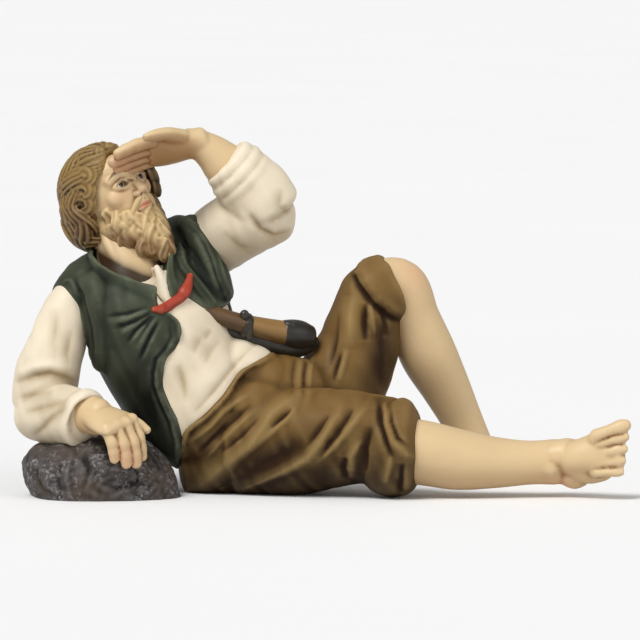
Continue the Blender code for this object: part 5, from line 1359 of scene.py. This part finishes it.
def rgb(red, green, blue):
    """A paint colour from its 0 to 255 values on screen, as linear light: ((c + 0.055) / 1.055)^2.4."""
    share = np.array([red, green, blue]) / 255
    linear = np.where(share <= 0.04045, share / 12.92, ((share + 0.055) / 1.055) ** 2.4)
    return (*linear.tolist(), 1)


def tinted(tree, under, mask, colour, strength):
    """A colour laid over another where a mask says, at some strength."""
    return mixed(tree, maths(tree, "MULTIPLY", reading(tree, mask), strength, clamp=True), under, colour)


def paint(name, base, deep, bright, glaze_and_shade=0.85, dry=0.35, shade=0.25, patch=0.18, roughness=0.42, vary=0.14,
          coat=0.06, bump=0.35, drag=1, tints=(), gloss=0.28):
    """A painted wood finish that also carries painted shade in hollows and where the surface looks down, and
    painted highlight on crests.
    tints are (mask, colour, strength) laid over the colour, those named under_ before the glazing and the
    rest after it.
    """
    made = bpy.data.materials.new(name)
    made.use_nodes = True
    tree = made.node_tree
    shader = tree.nodes["Principled BSDF"]
    place = tree.nodes.new("ShaderNodeTexCoord").outputs["Object"]
    hollow = reading(tree, "hollow")
    ground = base
    for tint in [tint for tint in tints if tint[0].startswith("under_")]:
        ground = tinted(tree, ground, *tint)
    glazed_and_shaded = placed(tree, GLAZE_AND_LIGHT, {
        "Base": ground, "Deep": deep, "Bright": bright, "Hollow": hollow, "Crest": reading(tree, "crest"),
        "Under": reading(tree, "under"), "Vector": place, "Glaze and shade": glaze_and_shade, "Dry brush and highlight": dry, "Shade": shade,
        "Patch": patch})
    colour = glazed_and_shaded.outputs["Color"]
    for tint in [tint for tint in tints if not tint[0].startswith("under_")]:
        colour = tinted(tree, colour, *tint)
    tree.links.new(colour, shader.inputs["Base Color"])
    brushed = placed(tree, BRUSH, {"Vector": place, "Roughness": roughness, "Vary": vary,
                                   "Hollow": hollow, "Drag": drag})
    tree.links.new(brushed.outputs["Roughness"], shader.inputs["Roughness"])
    relief = tree.nodes.new("ShaderNodeBump")
    relief.inputs["Strength"].default_value = bump
    relief.inputs["Distance"].default_value = 0.00003
    tree.links.new(brushed.outputs["Height"], relief.inputs["Height"])
    tree.links.new(relief.outputs["Normal"], shader.inputs["Normal"])
    shader.inputs["Coat Weight"].default_value = coat
    shader.inputs["Coat Roughness"].default_value = 0.3
    shader.inputs["Specular IOR Level"].default_value = gloss
    return made


def eye_paint():
    """The painted eyes: warm white, a brown iris and a dark pupil read from the distance to the gaze."""
    made = paint("eye_paint", rgb(232, 220, 200), rgb(150, 110, 80), rgb(250, 245, 235), patch=0.05,
                 roughness=0.25, coat=0.6, bump=0.05)
    tree = made.node_tree
    shader = tree.nodes["Principled BSDF"]
    white = shader.inputs["Base Color"].links[0].from_socket
    gaze = reading(tree, "gaze")
    colour = mixed(tree, ramp(tree, gaze, 0.66, 0.58), white, rgb(74, 46, 26))
    colour = mixed(tree, ramp(tree, gaze, 0.34, 0.27), colour, rgb(18, 12, 10))
    tree.links.new(colour, shader.inputs["Base Color"])
    return made


def rock_paint():
    """The rock's dark grey, warmer in patches, with pale flecks of dry paint gathered in others."""
    # The rock's second colour is painted shade in its hollows and where it looks down, its third painted
    # highlight on its crests.
    made = paint("rock_paint", rgb(64, 59, 57), rgb(20, 17, 16), rgb(118, 114, 112), glaze_and_shade=0.9, dry=0.4,
                 shade=0.7, patch=0.6, roughness=0.55, coat=0, bump=0.8, gloss=0.2)
    tree = made.node_tree
    shader = tree.nodes["Principled BSDF"]
    place = tree.nodes.new("ShaderNodeTexCoord").outputs["Object"]
    grey = shader.inputs["Base Color"].links[0].from_socket
    warm = ramp(tree, noise(tree, place, 130), 0.45, 0.62)
    colour = mixed(tree, maths(tree, "MULTIPLY", warm, 0.5), grey, rgb(80, 64, 50))
    fleck = ramp(tree, noise(tree, place, 1300, 4, 0.7), 0.50, 0.66)
    fleck = maths(tree, "MULTIPLY", fleck, ramp(tree, noise(tree, place, 210), 0.44, 0.62))
    colour = mixed(tree, maths(tree, "MULTIPLY", fleck, 0.68), colour, rgb(164, 162, 164))
    tree.links.new(colour, shader.inputs["Base Color"])
    return made


# Each paint's second colour goes into hollows, as glazing and as painted shade, and where the surface looks
# down, as painted shade; its third onto crests, as pale paint rubbed on and as painted highlight.
SKIN = (rgb(212, 184, 140), rgb(124, 84, 46), rgb(236, 216, 178))
HEAD_TINTS = (("blush", rgb(216, 152, 120), 0.28), ("brow", rgb(92, 62, 34), 0.85),
              ("lips", rgb(205, 122, 100), 0.8), ("lid", rgb(70, 42, 24), 0.8))
# The skin's brown tint on the left palm is painted shade where the hand does not face up.
skin = paint("skin_paint", *SKIN, glaze_and_shade=0.9, dry=0.25, shade=0.45, patch=0.10, roughness=0.44, coat=0.12,
             tints=(("rosy", rgb(222, 154, 124), 0.30), ("under_palm_shade", rgb(160, 116, 70), 0.75)))
# The face's last tint is painted shadow of the collar, a dark band on the neck.
face = paint("face_paint", *SKIN, glaze_and_shade=0.8, dry=0.25, shade=0.36, patch=0.08, roughness=0.42, coat=0.1,
             tints=HEAD_TINTS + (("under_collar_shadow", rgb(54, 34, 16), 1),))
# The shirt's tint is painted shade along the valleys of its folds.
shirt_white = paint("shirt_paint", rgb(228, 214, 188), rgb(146, 124, 90), rgb(248, 240, 222), glaze_and_shade=0.75,
                    dry=0.4, shade=0.45, patch=0.08, roughness=0.55, gloss=0.22,
                    tints=(("under_fold_shade", rgb(170, 150, 116), 0.7),))
# The vest's first two tints are painted shade, darker towards the bottom and along the valleys of its folds;
# its last is painted highlight along their ridges.
vest_green = paint("vest_paint", rgb(52, 58, 44), rgb(11, 12, 10), rgb(116, 120, 98), glaze_and_shade=0.95, dry=0.5,
                   shade=0.55, patch=0.5, roughness=0.52, coat=0, gloss=0.16,
                   tints=(("under_low_shade", rgb(15, 16, 12), 0.92), ("under_fold_shade", rgb(13, 14, 11), 0.85),
                          ("fold_highlight", rgb(112, 116, 94), 0.45)))
# The breeches' first two tints are painted shade, darker towards the bottom and along the valleys of their
# folds; the last is painted highlight along their ridges.
breeches_brown = paint("breeches_paint", rgb(114, 86, 46), rgb(36, 20, 8), rgb(160, 134, 88), glaze_and_shade=0.95,
                       dry=0.5, shade=0.6, patch=0.3, roughness=0.55, coat=0, gloss=0.12,
                       tints=(("under_low_shade", rgb(24, 12, 4), 0.96), ("under_fold_shade", rgb(42, 24, 8), 0.9),
                              ("fold_highlight", rgb(156, 130, 82), 0.6)))
rock_grey = rock_paint()
# The hair's last tint is painted shade on the far side of the head.
hair_gold = paint("hair_paint", rgb(134, 106, 58), rgb(48, 28, 14), rgb(178, 150, 100), glaze_and_shade=0.95, dry=0.45,
                  shade=0.45, patch=0.25, roughness=0.5,
                  tints=(("under_ear", rgb(86, 50, 24), 0.8), ("under_far_shade", rgb(38, 24, 16), 0.95)))
# The beard's tints are painted shade, along its lower edge and on the far side of the face.
beard_gold = paint("beard_paint", rgb(202, 174, 126), rgb(112, 78, 42), rgb(226, 204, 164), glaze_and_shade=0.8,
                   dry=0.35, shade=0.5, patch=0.2, roughness=0.5,
                   tints=(("under_edge_shade", rgb(112, 78, 40), 0.85), ("under_far_shade", rgb(84, 54, 26), 0.85)))
tie_red = paint("tie_paint", rgb(158, 56, 38), rgb(74, 20, 12), rgb(198, 98, 70), dry=0.4, shade=0.5,
                roughness=0.4)
flask_gold = paint("flask_paint", rgb(136, 102, 54), rgb(48, 28, 12), rgb(186, 154, 98), dry=0.4, shade=0.9,
                   roughness=0.36, coat=0.2, tints=(("under_neck", rgb(84, 58, 36), 1),))
flask_black = paint("strap_paint", rgb(34, 30, 25), rgb(10, 9, 8), rgb(86, 80, 68), dry=0.4,
                    roughness=0.38, coat=0.25)
eye_white = eye_paint()


# Masks of each finish

def head_masks(points, normals):
    """Masks in the head's own shares: bands about lines for brows and lash lines, and soft spots for lips
    and cheeks; and painted shadow of the collar, a dark band on the neck above the collar."""
    local = head_share(points)
    left, up = np.abs(local[:, 0]), local[:, 2]
    seen = ease(local[:, 1], 0.15, 0.25)
    arch = 0.118 + 0.030 * np.cos((left - 0.15) / 0.085 * np.pi / 2) - 0.12 * np.clip(left - 0.17, 0, 1)
    thick = 0.014 * np.clip(1.15 - ((left - 0.14) / 0.105) ** 2, 0, 1)
    brow = ease(thick - np.abs(up - arch), -0.004, 0.004) * seen
    slit = eye_slit(local)
    over = ease(up - EYE_UP, 0, 0.01)
    lid = np.exp(-((slit + 0.002) / 0.006) ** 2) * (0.35 + 0.65 * over) * seen * (slit > -0.03)
    lips = np.exp(-(local[:, 0] / 0.085) ** 4) * np.exp(-((up + 0.255) / 0.032) ** 4)
    lips = lips * ease(local[:, 1], 0.33, 0.38)
    cheek = np.exp(-(((left - 0.19) / 0.09) ** 2 + ((up + 0.10) / 0.08) ** 2)) * seen
    tip = np.exp(-((left / 0.06) ** 2 + ((up + 0.11) / 0.05) ** 2)) * ease(local[:, 1], 0.44, 0.5)
    # Painted shadow of the collar, a dark band on the neck along the line above its rim.
    collar_shadow = np.clip(2.2 * strokes_out(points, normals, [(1, 1.5, COLLAR_SHADOW_LINE)]), 0, 1)
    return {"brow": brow, "lid": lid, "lips": lips, "blush": np.clip(cheek + 0.6 * tip, 0, 1),
            "under_collar_shadow": collar_shadow}


def eye_masks(points, normals):
    """gaze: the distance, in millimetres, from the axis that each eye looks along."""
    local = head_share(points) * HEAD_HEIGHT
    left = np.abs(local[:, 0]) - EYE_LEFT * HEAD_HEIGHT
    up = local[:, 2] - (EYE_UP + 0.010) * HEAD_HEIGHT
    return {"gaze": np.hypot(left, up)}


def fold_masks(folds, back_folds, high, low):
    """Painted shade, 1 below a height and 0 above another; and painted shade and painted highlight laid
    along the carving's valleys and ridges, the strokes' own sum 2.1 times as wide, clipped."""
    def mask(points, normals):
        """The low painted shade falls from 1 to 0 between the heights low and high; the fold shade is -1.4
        and the fold highlight 1.1 times the strokes' height, held between 0 and 1."""
        told = strokes_out(points, normals, folds, wide=2.1)
        told += strokes_out(points, normals, back_folds, BACK, wide=2.1)
        # Painted shade low down and in fold valleys, painted highlight on fold ridges.
        return {"under_low_shade": ease(-points[:, 2], -high, -low), "under_fold_shade": np.clip(-1.4 * told, 0, 1),
                "fold_highlight": np.clip(1.1 * told, 0, 1)}
    return mask


def folded(folds, back_folds, wide, wide_back, lean, height=1):
    """The relief of a garment: the cut wood's unevenness and its folds, front and back; wide and lean are
    as for strokes_out, height scales the front ones."""
    def out(points, normals):
        """The tool marks plus height times the front's strokes plus the back's strokes."""
        front = height * strokes_out(points, normals, folds, wide=wide, lean=lean)
        rear = strokes_out(points, normals, back_folds, BACK, wide=wide_back, lean=lean)
        return worked(points) + front + rear
    return out


def edge_mask(points, normals):
    """far_mask's, and painted shade that is 1 along the beard's lower edge, up = 1.1 |left| - 0.84 in
    the head's shares."""
    local = head_share(points)
    rise = local[:, 2] + 0.84 - 1.1 * np.abs(local[:, 0])
    return {**far_mask(points, normals), "under_edge_shade": 1 - ease(rise, 0.02, 0.22)}


def far_mask(points, normals):
    """Painted shade, 1 on the far side of the face. under_ear: a soft spot about each ear."""
    local = head_share(points)
    away = np.hypot((local[:, 1] + 0.06) / 0.22, (local[:, 2] + 0.16) / 0.24)
    return {"under_far_shade": ease(local[:, 0], 0.12, 0.26), "under_ear": np.exp(-away ** 2)}


def palm_mask(points, normals):
    """rosy: fingertips. And painted shade, brown, where the left hand does not face up."""
    shade = ease(-normals[:, 2], -0.55, 0.1) * ease(-points[:, 0], 23, 27)
    rosy = np.exp(-(np.linalg.norm(points - (-41.5, -5.5, 67), axis=1) / 4) ** 2)
    return {"rosy": rosy, "under_palm_shade": shade}


def rosy_mask(spots):
    """rosy: soft spots about fingertips, knees and toes."""
    def mask(points, normals):
        """The largest exp(-(distance / radius)^2) over the spots."""
        rosy = np.zeros(len(points))
        for x, y, z, radius in spots:
            rosy = np.maximum(rosy, np.exp(-(np.linalg.norm(points - (x, y, z), axis=1) / radius) ** 2))
        return {"rosy": rosy}
    return mask


def neck_mask(points, normals):
    """under_neck: the flask's brown neck, left of its band."""
    return {"under_neck": ease(-points[:, 0], 15, 15.6)}


# Pieces

ROSY_LEGS = [(64, -20, 17, 4), (48, 19, 3, 4), (19, 9, 44, 4), (47, -13, 3, 3)]
ROSY_FINGERS = [(-38.5, -23.5, 9, 3.5)]
body_tree = tree_of(vest_shells())
carved("rock", rock_shells(), 0.33, 2, rock_grey, rock_out, fine=0.07, broad=0.45)
carved("shirt", shirt_body_shells() + sleeve_r_shells() + cuff_r_shells() + sleeve_l_shells()
       + cuff_l_shells() + shirt_wedge_shells(), 0.41, 4, shirt_white,
       folded(SHIRT_FOLDS, SHIRT_BACK_FOLDS, 1.35, 1.35, 0.35, 0.85),
       fine=0.10, broad=0.6, extra=fold_masks(SHIRT_FOLDS, SHIRT_BACK_FOLDS, 0, -1))
vest = softened("vest_mass", vest_shells(), 0.28, 12)
carved("vest", vest + collar_shells(body_tree) + vest_trims(body_tree), 0.34, 2, vest_green,
       folded(VEST_FOLDS, VEST_BACK_FOLDS, 1.2, 1.3, 0.3), fine=0.07, broad=0.5,
       extra=fold_masks(VEST_FOLDS, VEST_BACK_FOLDS, 37, 17))
breeches = breeches_shells() + waist_shells() + knee_shells()
breeches = softened("breeches_mass", breeches, 0.33, 14) + breeches_trims(tree_of(breeches))
carved("breeches", breeches, 0.38, 1, breeches_brown,
       folded(BREECHES_FOLDS, BREECHES_BACK_FOLDS, 1.35, 1.35, 0.35), fine=0.08, broad=0.5,
       extra=fold_masks(BREECHES_FOLDS, BREECHES_BACK_FOLDS, 20, 0.5))
carved("legs", leg_r_shells() + leg_l_shells(), 0.35, 2, skin, broad=0.4, extra=rosy_mask(ROSY_LEGS))
carved("hand_right", hand_r_shells(), 0.21, 2, skin, fine=0.035, broad=0.3, extra=rosy_mask(ROSY_FINGERS))
carved("hand_left", hand_l_shells(), 0.22, 2, skin, fine=0.035, broad=0.3, extra=palm_mask)
carved("head", skull_shells(), 0.205, 3, face, face_out, fine=0.03, broad=0.3, extra=head_masks)
carved("eyes", eye_shells(), 0.12, 1, eye_white, fine=1, broad=4, extra=eye_masks)
carved("hair", hair_shells(), 0.225, 2, hair_gold, fine=0.06, broad=0.4, extra=far_mask)
carved("beard", beard_shells(), 0.18, 4, beard_gold, fine=0.06, broad=0.4, extra=edge_mask)
carved("flask", flask_shells(), 0.2, 2, flask_gold, fine=0.05, broad=0.5, extra=neck_mask)
carved("flask_strap", flask_band_shells(), 0.2, 2, flask_black, fine=0.05, broad=0.4)
carved("tie", tie_shells(body_tree), 0.14, 1, tie_red, fine=0.03, broad=0.2)


# Floor, light and camera

def floor_paint():
    """The floor's matt white, with a faint unevenness."""
    made = bpy.data.materials.new("floor_white")
    made.use_nodes = True
    tree = made.node_tree
    shader = tree.nodes["Principled BSDF"]
    place = tree.nodes.new("ShaderNodeTexCoord").outputs["Object"]
    white = mixed(tree, noise(tree, place, 6), rgb(246, 246, 246), rgb(250, 250, 250))
    tree.links.new(white, shader.inputs["Base Color"])
    shader.inputs["Roughness"].default_value = 0.8
    return made


def floor():
    """A flat disc under the figure: rings of radius 0.2 m to 6 m."""
    turn = np.linspace(0, 2 * np.pi, 64, endpoint=False)
    radius = np.array([0.2, 1, 6])[:, None]
    ring = np.stack([radius * np.cos(turn), radius * np.sin(turn), np.zeros((3, 64))], axis=-1).reshape(-1, 3)
    ring[:, 2] = -0.00002
    mesh = bpy.data.meshes.new("floor")
    mesh.from_pydata(ring.tolist(), [], grid_faces(3, 64)[:, ::-1].tolist() + [list(range(64))])
    mesh.materials.append(floor_paint())
    made = bpy.data.objects.new("floor", mesh)
    bpy.context.scene.collection.objects.link(made)


LOOK_AT = Vector((-0.00032, -0.00126, 0.0346))
CAMERA_DISTANCE = 1.2
CAMERA_ELEVATION = 4
VIEW_WIDTH = 0.128
SKY = 0.38


def sun(name, way, strength, spread):
    """A far soft light that comes from one way; its strength is the same all over the floor."""
    light = bpy.data.lights.new(name, "SUN")
    light.energy, light.angle = strength, np.radians(spread)
    made = bpy.data.objects.new(name, light)
    made.rotation_euler = (-Vector(way)).to_track_quat("-Z", "Y").to_euler()
    bpy.context.scene.collection.objects.link(made)


def studio():
    """White surroundings, a large soft key high on the left, a weaker fill on the right, and the camera."""
    world = bpy.data.worlds.new("studio")
    world.use_nodes = True
    tree = world.node_tree
    sky = tree.nodes["Background"]
    sky.inputs["Color"].default_value = (1, 1, 1, 1)
    sky.inputs["Strength"].default_value = SKY
    white = tree.nodes.new("ShaderNodeBackground")
    white.inputs["Color"].default_value = (1, 1, 1, 1)
    path = tree.nodes.new("ShaderNodeLightPath")
    blend = tree.nodes.new("ShaderNodeMixShader")
    tree.links.new(path.outputs["Is Camera Ray"], blend.inputs[0])
    tree.links.new(sky.outputs[0], blend.inputs[1])
    tree.links.new(white.outputs[0], blend.inputs[2])
    tree.links.new(blend.outputs[0], tree.nodes["World Output"].inputs["Surface"])
    bpy.context.scene.world = world
    sun("key", (-0.45, -0.62, 1), 2.35, 28)
    sun("fill", (0.9, -0.7, 0.5), 0.5, 40)
    camera = bpy.data.cameras.new("camera")
    camera.sensor_width = 36
    camera.lens = 36 * CAMERA_DISTANCE / VIEW_WIDTH
    camera.clip_start, camera.clip_end = 0.05, 20
    tilt = np.radians(CAMERA_ELEVATION)
    made = bpy.data.objects.new("camera", camera)
    made.location = LOOK_AT + Vector((0, -np.cos(tilt), np.sin(tilt))) * CAMERA_DISTANCE
    made.rotation_euler = (np.pi / 2 - tilt, 0, 0)
    bpy.context.scene.collection.objects.link(made)
    bpy.context.scene.camera = made
    bpy.context.scene.view_settings.view_transform = "Standard"


floor()
studio()
